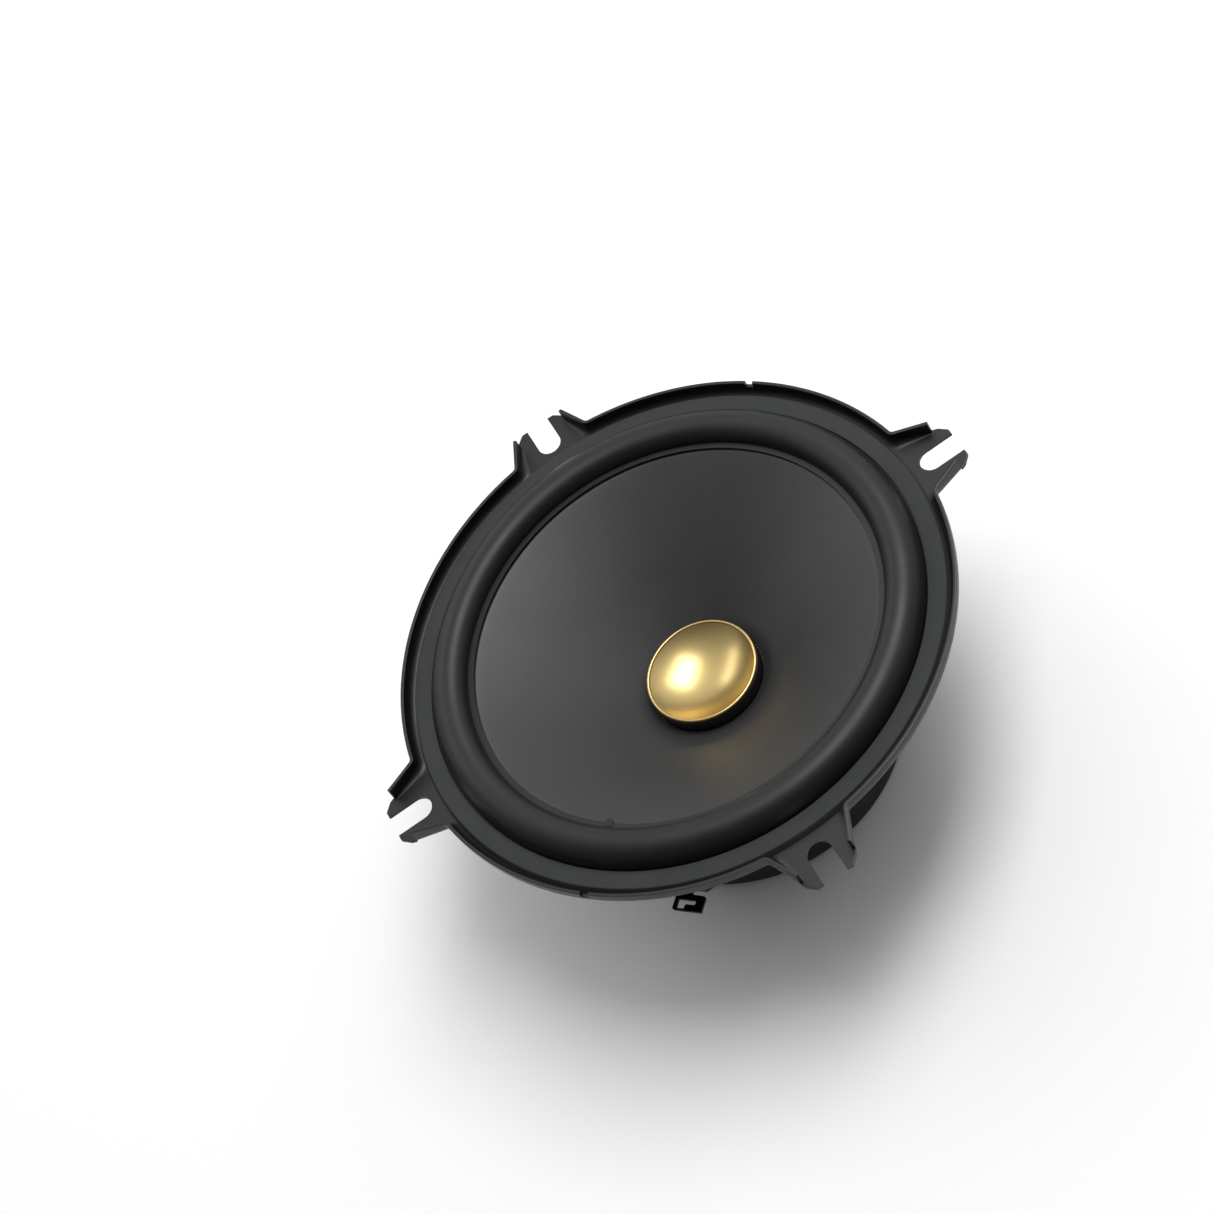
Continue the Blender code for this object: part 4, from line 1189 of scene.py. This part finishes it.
@dataclass
class Suspension:
    """What the diaphragm hangs from: gasket, rolled surround and waved spider."""

    thickness: float = 0.5
    land_radius: float = 48.2
    roll_inner: float = 49.6
    roll_outer: float = 58.8
    land_outer: float = 62.9
    roll_height: float = 4.5
    nib: Point = (1.1, 1.0)  # reach over the cone and half width of the moulding nib
    nib_root: Point = (0.1, 0.8)  # how far it starts inside the land, and how far its foot does
    nib_heights: Point = (0.45, 0.12)  # below and above the land's top
    gasket_edge: float = 0.12
    gasket_drop: float = 3.45  # from the top of the lip down to the gasket's foot
    gasket_gap: float = 0.3  # between the roll and the gasket
    gasket_skirt: tuple[float, ...] = (0.05, 0.25, 0.6, 0.45, 0.35)  # clear, under, foot, top, rise
    gasket_rounding: Point = (0.2, 0.4)  # at the skirt and at the top
    spider_rolls: float = 4.0
    spider_amplitude: float = 0.8
    wave_start: float = 14.1
    wave_end: float = 24.0
    spider_inner: float = 12.9
    spider_outer: float = 30.9

    def build(self) -> None:
        """Make the three pieces."""
        self.build_gasket()
        self.build_surround()
        self.build_spider()

    def build_gasket(self) -> Piece:
        """Flat ring glued over the surround's outer land."""
        low, high = extent("front_gasket")
        floor = extent("basket_frame")[1].z - self.gasket_drop
        clear, under, foot, skirt, rise = self.gasket_skirt
        inner, outer, land = self.roll_outer + self.gasket_gap, high.x, self.land_outer + clear
        skirt_bend, top_bend = self.gasket_rounding
        outline = rounded([(inner, low.z - under, 0.0), (land, low.z - under, 0.0), (land, floor, 0.0),
                           (outer + foot, floor, 0.0), (outer + skirt, floor + rise, skirt_bend),
                           (outer, high.z, top_bend), (inner, high.z, self.gasket_edge)], steps=3)
        ring = turned("gasket_ring", outline)
        return mount(ring, Body.CHASSIS, GASKET_BOARD, "gasket_board", "front_gasket")

    def build_surround(self) -> Piece:
        """Half roll, held by the cone inside and the flange outside."""
        low, high = extent("surround")
        cone_top = extent("cone")[1].z
        values = {
            "Segments": TURNS + 1, "Thickness": self.thickness * MM,
            "Inner Radius": self.land_radius * MM, "Outer Radius": self.land_outer * MM,
            "Roll Middle": (self.roll_inner + self.roll_outer) / 2 * MM,
            "Roll Half Width": (self.roll_outer - self.roll_inner) / 2 * MM,
            "Roll Height": self.roll_height * MM,
            "Inner Height": (cone_top + CONE_GLUE + self.thickness) * MM,
            "Outer Height": (low.z + self.thickness) * MM,
        }
        mesh = RollRing("rolled_sheet", values).build("surround_roll", BUTYL)
        reach, half = self.nib
        top = cone_top + CONE_GLUE + self.thickness
        root, foot = self.nib_root
        outline = arc((0.0, -self.land_radius - root), half, 0.0, 180.0, 10)
        outline = [(x, -self.land_radius - root + (y + self.land_radius + root) * reach / half)
                   for x, y in outline]
        outline = [(half, -self.land_radius - foot), *outline, (-half, -self.land_radius - foot)]
        below, above = self.nib_heights
        nib = extruded("moulding_nib", [outline], top - below, top + above)
        mesh = combined(mesh, nib, Join.ADD)
        mesh.name = "surround_roll"
        piece = hang(mesh, fixed=self.roll_outer, moving=self.roll_inner)
        return fit(piece, BUTYL, "rubber", "surround")

    def build_spider(self) -> Piece:
        """Waved cloth that centres the coil."""
        low, high = extent("spider")
        middle = (low.z + high.z) / 2
        values = {
            "Segments": TURNS + 1, "Thickness": self.thickness * MM, "Waves": self.spider_rolls,
            "Inner Radius": self.spider_inner * MM, "Outer Radius": self.spider_outer * MM,
            "Wave Start": self.wave_start * MM, "Wave End": self.wave_end * MM,
            "Height": (middle + self.thickness / 2) * MM, "Amplitude": self.spider_amplitude * MM,
        }
        mesh = WaveRing("waved_sheet", values).build("centring_spider", TREATED_CLOTH)
        piece = hang(mesh, fixed=self.wave_end, moving=self.wave_start)
        return fit(piece, TREATED_CLOTH, "spider_cloth", "spider")


# ---- diaphragm ---------------------------------------------------------------------------


@dataclass
class Diaphragm:
    """What moves: cone, cap, collar, former and winding."""

    neck_radius: float = 13.7
    cone_edge: float = 47.9
    lip_edge: float = 49.3
    cone_belly: float = 0.8
    cone_thickness: float = 0.6
    edge_bend: float = 1.2
    bead: float = 0.4
    cap_depth: float = 4.5
    cap_thickness: float = 0.4
    wire_radius: float = 0.125
    wire_turns: int = 32

    def build(self) -> None:
        """Make the five pieces."""
        self.build_cone()
        self.build_cap()
        self.build_tubes()
        self.build_winding()

    def face_height(self, radius: float) -> float:
        """Height of the cone's front at a radius."""
        top = extent("cone")[1].z
        neck = extent("cap_collar")[0].z + self.cone_thickness
        share = (radius - self.neck_radius) / (self.cone_edge - self.neck_radius)
        return neck + (top - neck) * share + self.cone_belly * 4.0 * share * (1.0 - share)

    def build_cone(self) -> Piece:
        """Cone with a slight belly and a flat lip under the surround."""
        steps = 40
        span = self.cone_edge - self.neck_radius
        radii = [self.neck_radius + span * n / steps for n in range(steps + 1)]
        path = [(radius, self.face_height(radius), 0.0) for radius in radii]
        path[-1] = (*path[-1][:2], self.edge_bend)
        path.append((self.lip_edge, path[-1][1], 0.0))
        top = rounded([path[0], *path[1:-3], *path[-2:]], closed=False)
        sides = left_sides(top)
        lower = [tuple(Vector(point) - side * self.cone_thickness) for point, side in zip(top, sides)]
        cone = turned("formed_cone", top + lower[::-1])
        return mount(cone, Body.DIAPHRAGM, MICA_POLYMER, "cone_polymer", "cone")

    def build_cap(self) -> Piece:
        """Hollow dish with a rolled rim."""
        low, high = extent("dust_cap")
        bead = self.bead
        ring, level = high.x - bead, high.z - bead
        edge = ring - bead
        ball = (edge**2 + self.cap_depth**2) / (2.0 * self.cap_depth)
        centre = (0.0, level - self.cap_depth + ball)
        reach = math.degrees(math.asin(edge / ball))
        front = arc(centre, ball, -90.0, reach - 90.0, 36)
        back = arc(centre, ball + self.cap_thickness, reach - 90.0, -90.0, 36)
        front[0], back[-1] = (0.0, front[0][1]), (0.0, back[-1][1])
        outline = front + arc((ring, level), bead, 180.0, -90.0, 14)[1:] + back
        return mount(turned("dished_cap", outline), Body.DIAPHRAGM, GOLD_ANODISED, "gold_cap", "dust_cap")

    def build_tubes(self) -> None:
        """Collar under the cap, and the coil's former inside it."""
        rows = (("cap_collar", "cap_collar_ring", 12.9, 0.15), ("coil_former", "former_tube", 12.3, 0.05))
        for node, name, inner, edge in rows:
            low, high = extent(node)
            outline = rounded([(inner, low.z, 0.0), (high.x, low.z, 0.0), (high.x, high.z, edge),
                               (inner, high.z, edge)], steps=3)
            mount(turned(name, outline, SMALL_TURNS), Body.DIAPHRAGM, BLACK_FILM, "black_film", node)

    def build_winding(self) -> Piece:
        """Two layers of round wire, turn on turn."""
        low, high = extent("voice_coil")
        wire = self.wire_radius
        values = {"Turns": self.wire_turns, "Pitch": 2.0 * wire * MM, "Wire Radius": wire * MM,
                  "Layer Radius": (high.x - 3.0 * wire) * MM, "First Turn": (low.z + wire) * MM}
        recipe = Recipe("wound_wire", values)
        given = recipe.given
        section = recipe.add("GeometryNodeCurvePrimitiveCircle",
                             {"Resolution": 6, "Radius": given["Wire Radius"]})
        start = recipe.add("ShaderNodeCombineXYZ", [0.0, 0.0, given["First Turn"]])
        step = recipe.add("ShaderNodeCombineXYZ", [0.0, 0.0, given["Pitch"]])
        layers = recipe.add("GeometryNodeJoinGeometry")
        for layer in range(2):
            radius = recipe.add("ShaderNodeMath", [given["Pitch"], float(layer), given["Layer Radius"]],
                                operation="MULTIPLY_ADD")
            turn = recipe.add("GeometryNodeCurvePrimitiveCircle", {"Resolution": 72, "Radius": radius})
            row = recipe.add("GeometryNodeMeshLine", {"Count": given["Turns"], "Start Location": start,
                                                      "Offset": step})
            turns = recipe.add("GeometryNodeInstanceOnPoints", {"Points": row, "Instance": turn})
            curves = recipe.add("GeometryNodeRealizeInstances", [turns])
            wires = recipe.add("GeometryNodeCurveToMesh", {"Curve": curves, "Profile Curve": section})
            recipe.tree.links.new(wires.outputs[0], layers.inputs[0])
        carrier = point_mesh("winding_carrier", [(0.0, 0.0, low.z)])
        mesh = recipe.run("wound_coil", layers, carrier, ENAMELLED_COPPER)
        return mount(mesh, Body.DIAPHRAGM, ENAMELLED_COPPER, "copper", "voice_coil")


# ---- motor -------------------------------------------------------------------------------


@dataclass
class Motor:
    """Magnet system under its rubber cover, and the rivets that hold the basket to it."""

    cover_radius: float = 38.5
    cover_inner: float = 36.3
    cover_floor: float = 1.2
    cover_edge: float = 1.5
    groove: Point = (29.0, 0.35)  # radius and depth of the ring moulded into the back
    groove_half_widths: Point = (0.8, 0.4)  # at its mouth and at its floor
    line_depth: float = 0.35  # parting line round the cover
    line_drops: tuple[float, ...] = (3.0, 2.7, 2.3, 2.0)  # its corners below the cover's mouth
    mouth_rounding: Point = (0.7, 0.4)  # outside and inside
    plate_bore: float = 13.85
    magnet_bore: float = 16.0
    pole_radius: float = 11.9
    yoke_plate: float = 4.5
    chamfer: float = 0.5
    rivet_circle: float = 20.6
    rivet_head: float = 2.4
    rivet_shank: float = 1.5

    def build(self) -> None:
        """Make the pieces."""
        rows = [
            ("magnet_cover", self.cover(), COVER_RUBBER, "cover_rubber", "magnet_boot"),
            ("turned_top_plate", self.ring("top_plate", self.plate_bore), ZINC_PLATE, "zinc_steel",
             "top_plate"),
            ("ferrite_ring", self.ring("magnet", self.magnet_bore), FERRITE, "ferrite", "magnet"),
            ("forged_yoke", self.yoke(), ZINC_PLATE, "zinc_steel", "yoke"),
        ]
        for name, outline, finish, slot, node in rows:
            mount(turned(name, outline), Body.CHASSIS, finish, slot, node)
        self.build_rivets()

    def cover(self) -> list[Point]:
        """Outline of the cup, with a shallow ring in its back and a soft bead round its mouth."""
        low, high = extent("magnet_boot")
        radius, depth = self.groove
        floor = low.z
        mouth, bed = self.groove_half_widths
        wall, line = self.cover_radius, self.cover_radius - self.line_depth
        first, second, third, fourth = (high.z - drop for drop in self.line_drops)
        outside, inside = self.mouth_rounding
        corners = [(0.0, floor, 0.0), (radius - mouth, floor, 0.0), (radius - bed, floor + depth, 0.0),
                   (radius + bed, floor + depth, 0.0), (radius + mouth, floor, 0.0),
                   (wall, floor, self.cover_edge), (wall, first, 0.0), (line, second, 0.0),
                   (line, third, 0.0), (wall, fourth, 0.0), (wall, high.z, outside),
                   (self.cover_inner, high.z, inside), (self.cover_inner, floor + self.cover_floor, 0.0),
                   (0.0, floor + self.cover_floor, 0.0)]
        return rounded(corners, steps=6)

    def ring(self, node: str, bore: float) -> list[Point]:
        """Outline of a flat ring with broken edges, between the heights of its CAD node."""
        low, high = extent(node)
        edge = self.chamfer
        return rounded([(bore, low.z, edge), (high.x, low.z, edge), (high.x, high.z, edge),
                        (bore, high.z, edge)], steps=3)

    def yoke(self) -> list[Point]:
        """Outline of the back plate and the pole in one forging."""
        low, high = extent("yoke")
        level, edge = low.z + self.yoke_plate, self.chamfer
        return rounded([(0.0, low.z, 0.0), (high.x, low.z, edge), (high.x, level, edge),
                        (self.pole_radius, level, edge), (self.pole_radius, high.z, edge),
                        (0.0, high.z, 0.0)], steps=3)

    def build_rivets(self) -> Piece:
        """Four rivets with round heads, on a circle."""
        low, high = extent("plate_rivet_1")
        seat = high.z - 0.85
        head, shank = self.rivet_head, self.rivet_shank
        outline = [(shank * 0.9, low.z), (shank, low.z + 0.2), (shank, seat), (head, seat),
                   (head, seat + 0.35), (head * 0.85, seat + 0.6), (head * 0.55, seat + 0.79),
                   (head * 0.2, high.z)]
        spots = [(*polar(self.rivet_circle, angle), 0.0) for angle in EAR_ANGLES]
        mesh = RivetRow("plate_rivets").build("basket_rivets", outline, spots, ZINC_PLATE)
        nodes = [f"plate_rivet_{n}" for n in range(1, 5)]
        return mount(mesh, Body.CHASSIS, ZINC_PLATE, "zinc_steel", *nodes)


class RivetRow(Recipe):
    """Turned rivets, one on each point of a row."""

    def __init__(self, name: str) -> None:
        """Start the tree; its sizes are set in build()."""
        super().__init__(name, {"Sides": 40, "Largest Radius": 0.001, "Lowest": 0.0, "Length": 0.001})

    def build(self, name: str, outline: Sequence[Point], spots: Sequence[Place],
              finish: Finish) -> Mesh:
        """Turn one rivet and set it on every spot.

        Args:
            name: Name of the mesh.
            outline: Radius and height from the lower to the upper end.
            spots: Where the rivets stand.
            finish: Finish of the rivets.

        Returns:
            The finished mesh of all the rivets.
        """
        given = self.given
        widest = max(radius for radius, _ in outline)
        low, length = outline[0][1], outline[-1][1] - outline[0][1]
        self.values |= {"Largest Radius": widest * MM, "Lowest": low * MM, "Length": length * MM}
        rod = self.add("GeometryNodeMeshCylinder",
                       {"Vertices": given["Sides"], "Side Segments": len(outline) - 1, "Radius": 1.0,
                        "Depth": 1.0}, fill_type="TRIANGLE_FAN")
        place = self.add("ShaderNodeSeparateXYZ", [self.add("GeometryNodeInputPosition")])
        share = self.add("ShaderNodeMath", [place.outputs[2], 0.5], operation="ADD")
        shares = []
        for column, scale, start in ((0, widest, 0.0), (1, length, low)):
            curve = self.add("ShaderNodeFloatCurve", {"Value": share})
            points = curve.mapping.curves[0].points
            while len(points) < len(outline):
                points.new(0.5, 0.5)
            for n, corner in enumerate(outline):
                points[n].location = (n / (len(outline) - 1), (corner[column] - start) / scale)
                points[n].handle_type = "VECTOR"
            curve.mapping.update()
            shares.append(curve)
        wide = self.add("ShaderNodeMath", [shares[0], given["Largest Radius"]], operation="MULTIPLY")
        x = self.add("ShaderNodeMath", [place.outputs[0], wide], operation="MULTIPLY")
        y = self.add("ShaderNodeMath", [place.outputs[1], wide], operation="MULTIPLY")
        z = self.add("ShaderNodeMath", [shares[1], given["Length"], given["Lowest"]],
                     operation="MULTIPLY_ADD")
        where = self.add("ShaderNodeCombineXYZ", [x, y, z])
        rivet = self.add("GeometryNodeSetPosition", {"Geometry": rod, "Position": where})
        row = self.add("GeometryNodeInstanceOnPoints", {"Points": given["Geometry"], "Instance": rivet})
        return self.run(name, row, point_mesh(f"{name}_spots", spots), finish)


# ---- terminals ---------------------------------------------------------------------------


class TwistedLead(Recipe):
    """Strands laid round a route, like a tinsel lead."""

    def build(self, name: str, route: Sequence[Place], finish: Finish) -> Mesh:
        """Lay the strands.

        Args:
            name: Name of the mesh.
            route: Points of the middle of the lead.
            finish: Finish of the strands.

        Returns:
            The finished mesh.
        """
        given = self.given
        middle = self.add("GeometryNodeMeshToCurve", [given["Geometry"]])
        even = self.add("GeometryNodeResampleCurve", {"Curve": middle, "Count": given["Steps"]})
        share = self.add("GeometryNodeSplineParameter")
        turn = self.add("ShaderNodeMath", [share, given["Twist"]], operation="MULTIPLY")
        laid = self.add("GeometryNodeSetCurveTilt", {"Curve": even, "Tilt": turn})
        strand = self.add("GeometryNodeCurvePrimitiveCircle",
                          {"Resolution": 8, "Radius": given["Strand Radius"]})
        around = self.add("GeometryNodeCurvePrimitiveCircle", {"Resolution": given["Strands"],
                                                               "Radius": given["Lay Radius"]})
        bundle = self.add("GeometryNodeInstanceOnPoints", {"Points": around, "Instance": strand})
        section = self.add("GeometryNodeRealizeInstances", [bundle])
        lead = self.add("GeometryNodeCurveToMesh",
                        {"Curve": laid, "Profile Curve": section, "Fill Caps": True})
        return self.run(name, lead, point_mesh(f"{name}_route", route, joined=True), finish)


@dataclass
class Terminals:
    """Board with its two blades, the rivets that hold them, and the leads to the cone."""

    chamfer: float = 2.0
    arm_width: float = 3.8
    lug_length: float = 4.0
    lug_borders: tuple[float, ...] = (0.9, 2.0, 1.35, 0.5)  # arm side, other side, near and far
    lug_slot: float = 1.05
    lug_foot: float = 1.9
    lug_rounding: float = 0.5
    bevel: float = 0.1
    board_rivets: Point = (5.0, -36.25)
    blade_rivets: Point = (9.2, -45.55)
    rivet_shank: float = 1.2
    rivet_hole: float = 1.2 + 0.15
    rivet_head: float = 2.0
    head_height: float = 0.7
    strands: int = 7
    strand_radius: float = 0.2
    lay_radius: float = 0.38  # middle of the lead to the middle of a strand
    lead_twists: float = 6.0
    lead_steps: int = 90
    lead_gap: float = 0.3  # from its ends to the eyelet and to the blade
    lead_start: float = -22.0
    lead_end: float = -42.2

    def build(self) -> None:
        """Make the pieces."""
        self.build_board()
        self.build_blades()
        self.build_rivets()
        for pole in Pole:
            self.build_lead(pole)
            self.build_eyelet(pole)
            self.build_joint(pole)

    def plate(self, name: str, outline: Sequence[Point], low: float, high: float,
              holes: Sequence[Sequence[Point]]) -> Mesh:
        """Flat plate with holes and softened edges.

        Args:
            name: Name of the mesh.
            outline: Edge of the plate.
            low: Height of its underside.
            high: Height of its top.
            holes: Edges of the holes.

        Returns:
            The finished mesh.
        """
        mesh = combined(extruded(name, [outline], low, high),
                        extruded(f"{name}_holes", holes, low - 1.0, high + 1.0), Join.CUT)
        piece = new_object(name, mesh)
        bevel = piece.modifiers.new("soft_edges", "BEVEL")
        bevel.width, bevel.segments, bevel.limit_method = self.bevel * MM, 2, "ANGLE"
        bevel.angle_limit = math.radians(50.0)
        return smooth(baked(piece))

    def build_board(self) -> Piece:
        """Insulating board under the basket's tongue."""
        low, high = extent("terminal_board")
        cut = self.chamfer
        outline = [(low.x, high.y), (low.x, low.y + cut), (low.x + cut, low.y), (high.x - cut, low.y),
                   (high.x, low.y + cut), (high.x, high.y)]
        holes = [drilled((side * x, y), self.rivet_hole)
                 for x, y in (self.board_rivets, self.blade_rivets) for side in (-1.0, 1.0)]
        mesh = self.plate("insulating_board", outline, low.z, high.z, holes)
        return mount(mesh, Body.CHASSIS, FIBRE_BOARD, "fibre_board", "terminal_board")

    def build_blades(self) -> None:
        """Wide lug with its L-shaped opening, and the narrow blade."""
        x, y = self.blade_rivets
        low, high = extent("terminal_positive")
        left, right, bend = low.x, high.x, self.lug_rounding
        arm, near = left + self.arm_width, low.y + self.lug_length
        outline = rounded([(left, high.y, 0.2), (left, low.y, bend), (right, low.y, 0.15),
                           (right, near, bend), (arm, near, 0.3), (arm, high.y, 0.2)], steps=4)
        arm_side, other_side, near_side, far_side = self.lug_borders
        side, end, top, low_y = left + arm_side, right - other_side, near - near_side, low.y + far_side
        foot = side + self.lug_foot
        opening = rounded([(side, top, 0.2), (side, low_y, 0.2), (foot, low_y, 0.2),
                           (foot, top - self.lug_slot, 0.4), (end, top - self.lug_slot, 0.3),
                           (end, top, 0.3)], steps=4)
        left, right = extent("terminal_negative")
        narrow = [(left.x, right.y), (left.x, left.y), (right.x, left.y), (right.x, right.y)]
        rows = ((Pole.POSITIVE, outline, [opening]), (Pole.NEGATIVE, narrow, []))
        for pole, edge, holes in rows:
            low, high = extent(f"terminal_{pole.label}")
            holes = [*holes, drilled((pole.value * x, y), self.rivet_hole)]
            mesh = self.plate(f"blade_{pole.label}", edge, low.z, high.z, holes)
            mount(mesh, Body.CHASSIS, BLACKENED_STEEL, "blackened_steel", f"terminal_{pole.label}")

    def build_rivets(self) -> None:
        """Rivets with a head on each side, two through the tongue and two through the blades."""
        rows = (("board_rivets", self.board_rivets, ("board_rivet_left", "board_rivet_right")),
                ("blade_rivets", self.blade_rivets, ("blade_rivet_negative", "blade_rivet_positive")))
        for name, (x, y), nodes in rows:
            low, high = extent(nodes[0])
            shank, head, rise = self.rivet_shank, self.rivet_head, self.head_height
            dome = [(0.2, 0.0), (0.55, 0.08), (0.85, 0.3), (1.0, 0.6), (1.0, 1.0)]
            lower = [(head * r, low.z + rise * z) for r, z in dome]
            upper = [(head * r, high.z - rise * z) for r, z in reversed(dome)]
            outline = [*lower, (shank, low.z + rise), (shank, high.z - rise), *upper]
            mesh = RivetRow(name).build(f"{name}_pair", outline, [(-x, y, 0.0), (x, y, 0.0)], ZINC_PLATE)
            mount(mesh, Body.CHASSIS, ZINC_PLATE, "zinc_steel", *nodes)

    def build_lead(self, pole: Pole) -> Piece:
        """Lead from the back of the cone, through a window, to its blade."""
        x = pole.value * self.blade_rivets[0]
        start = extent(f"lead_eyelet_{pole.label}")[0].z - self.lead_gap
        end = extent(f"terminal_{pole.label}")[1].z + self.lead_gap
        run = self.lead_end - self.lead_start
        drops = ((0.0, start), (0.05, start - 1.2), (0.35, start - 1.8), (0.70, start - 1.2),
                 (0.95, (start + end) / 2), (1.0, end))
        route = self.eased([(x, self.lead_start + run * share, height) for share, height in drops])
        values = {"Steps": self.lead_steps, "Strands": self.strands,
                  "Strand Radius": self.strand_radius * MM, "Lay Radius": self.lay_radius * MM,
                  "Twist": math.tau * self.lead_twists}
        mesh = TwistedLead(f"strands_{pole.label}", values).build(f"tinsel_lead_{pole.label}", route, TINSEL)
        piece = new_object(mesh.name, mesh)
        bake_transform(piece, Body.CHASSIS.value, Body.DIAPHRAGM.value,
                 start=(x * MM, self.lead_end * MM, end * MM), end=(x * MM, self.lead_start * MM, end * MM))
        return fit(piece, TINSEL, "tinsel", f"lead_{pole.label}")

    @staticmethod
    def eased(points: Sequence[Place], steps: int = 6) -> list[Place]:
        """Smooth curve through points.

        Args:
            points: Points that the curve goes through.
            steps: Steps from each point to the next.

        Returns:
            Points of the curve.
        """
        places = [Vector(point) for point in points]
        ends = [places[0] * 2 - places[1], *places, places[-1] * 2 - places[-2]]
        curve = []
        for before, first, second, after in zip(ends, ends[1:], ends[2:], ends[3:]):
            for n in range(steps):
                t = n / steps
                bend = (first * 2 + (second - before) * t
                        + (before * 2 - first * 5 + second * 4 - after) * t**2
                        + (first * 3 - before - second * 3 + after) * t**3)
                curve.append(tuple(bend / 2))
        return [*curve, tuple(places[-1])]

    def build_eyelet(self, pole: Pole) -> Piece:
        """Eyelet that holds the lead to the back of the cone."""
        node = f"lead_eyelet_{pole.label}"
        low, high = extent(node)
        radius = (high.x - low.x) / 2
        outline = rounded([(0.0, low.z, 0.0), (radius * 0.6, low.z, 0.15), (radius, low.z + 0.6, 0.15),
                           (radius, high.z, 0.1), (0.0, high.z, 0.0)], steps=4)
        mesh = turned(f"cone_eyelet_{pole.label}", outline, EYELET_TURNS,
                      axis=(pole.value * self.blade_rivets[0], self.lead_start))
        return mount(mesh, Body.DIAPHRAGM, ZINC_PLATE, "tinsel", node)

    def build_joint(self, pole: Pole) -> Piece:
        """Drop of solder where the lead lands on its blade."""
        top = extent(f"terminal_{pole.label}")[1].z
        outline = [(0.0, top - 0.1), (1.55, top - 0.1), (1.5, top + 0.05), (1.2, top + 0.22),
                   (0.98, top + 0.55), (0.75, top + 0.85), (0.4, top + 1.02), (0.0, top + 1.06)]
        mesh = turned(f"solder_joint_{pole.label}", outline, EYELET_TURNS,
                      axis=(pole.value * self.blade_rivets[0], self.lead_end))
        return mount(mesh, Body.CHASSIS, SOLDER, "tinsel")


def main() -> None:
    """Build the scene piece by piece."""
    logging.basicConfig(level=logging.INFO, format="%(message)s")
    basket = Basket()
    Studio(flange_height=basket.flange).build()
    basket.build()
    Suspension().build()
    Diaphragm().build()
    Motor().build()
    Terminals().build()
    LOG.info("size written")


if __name__ == "__main__":
    main()
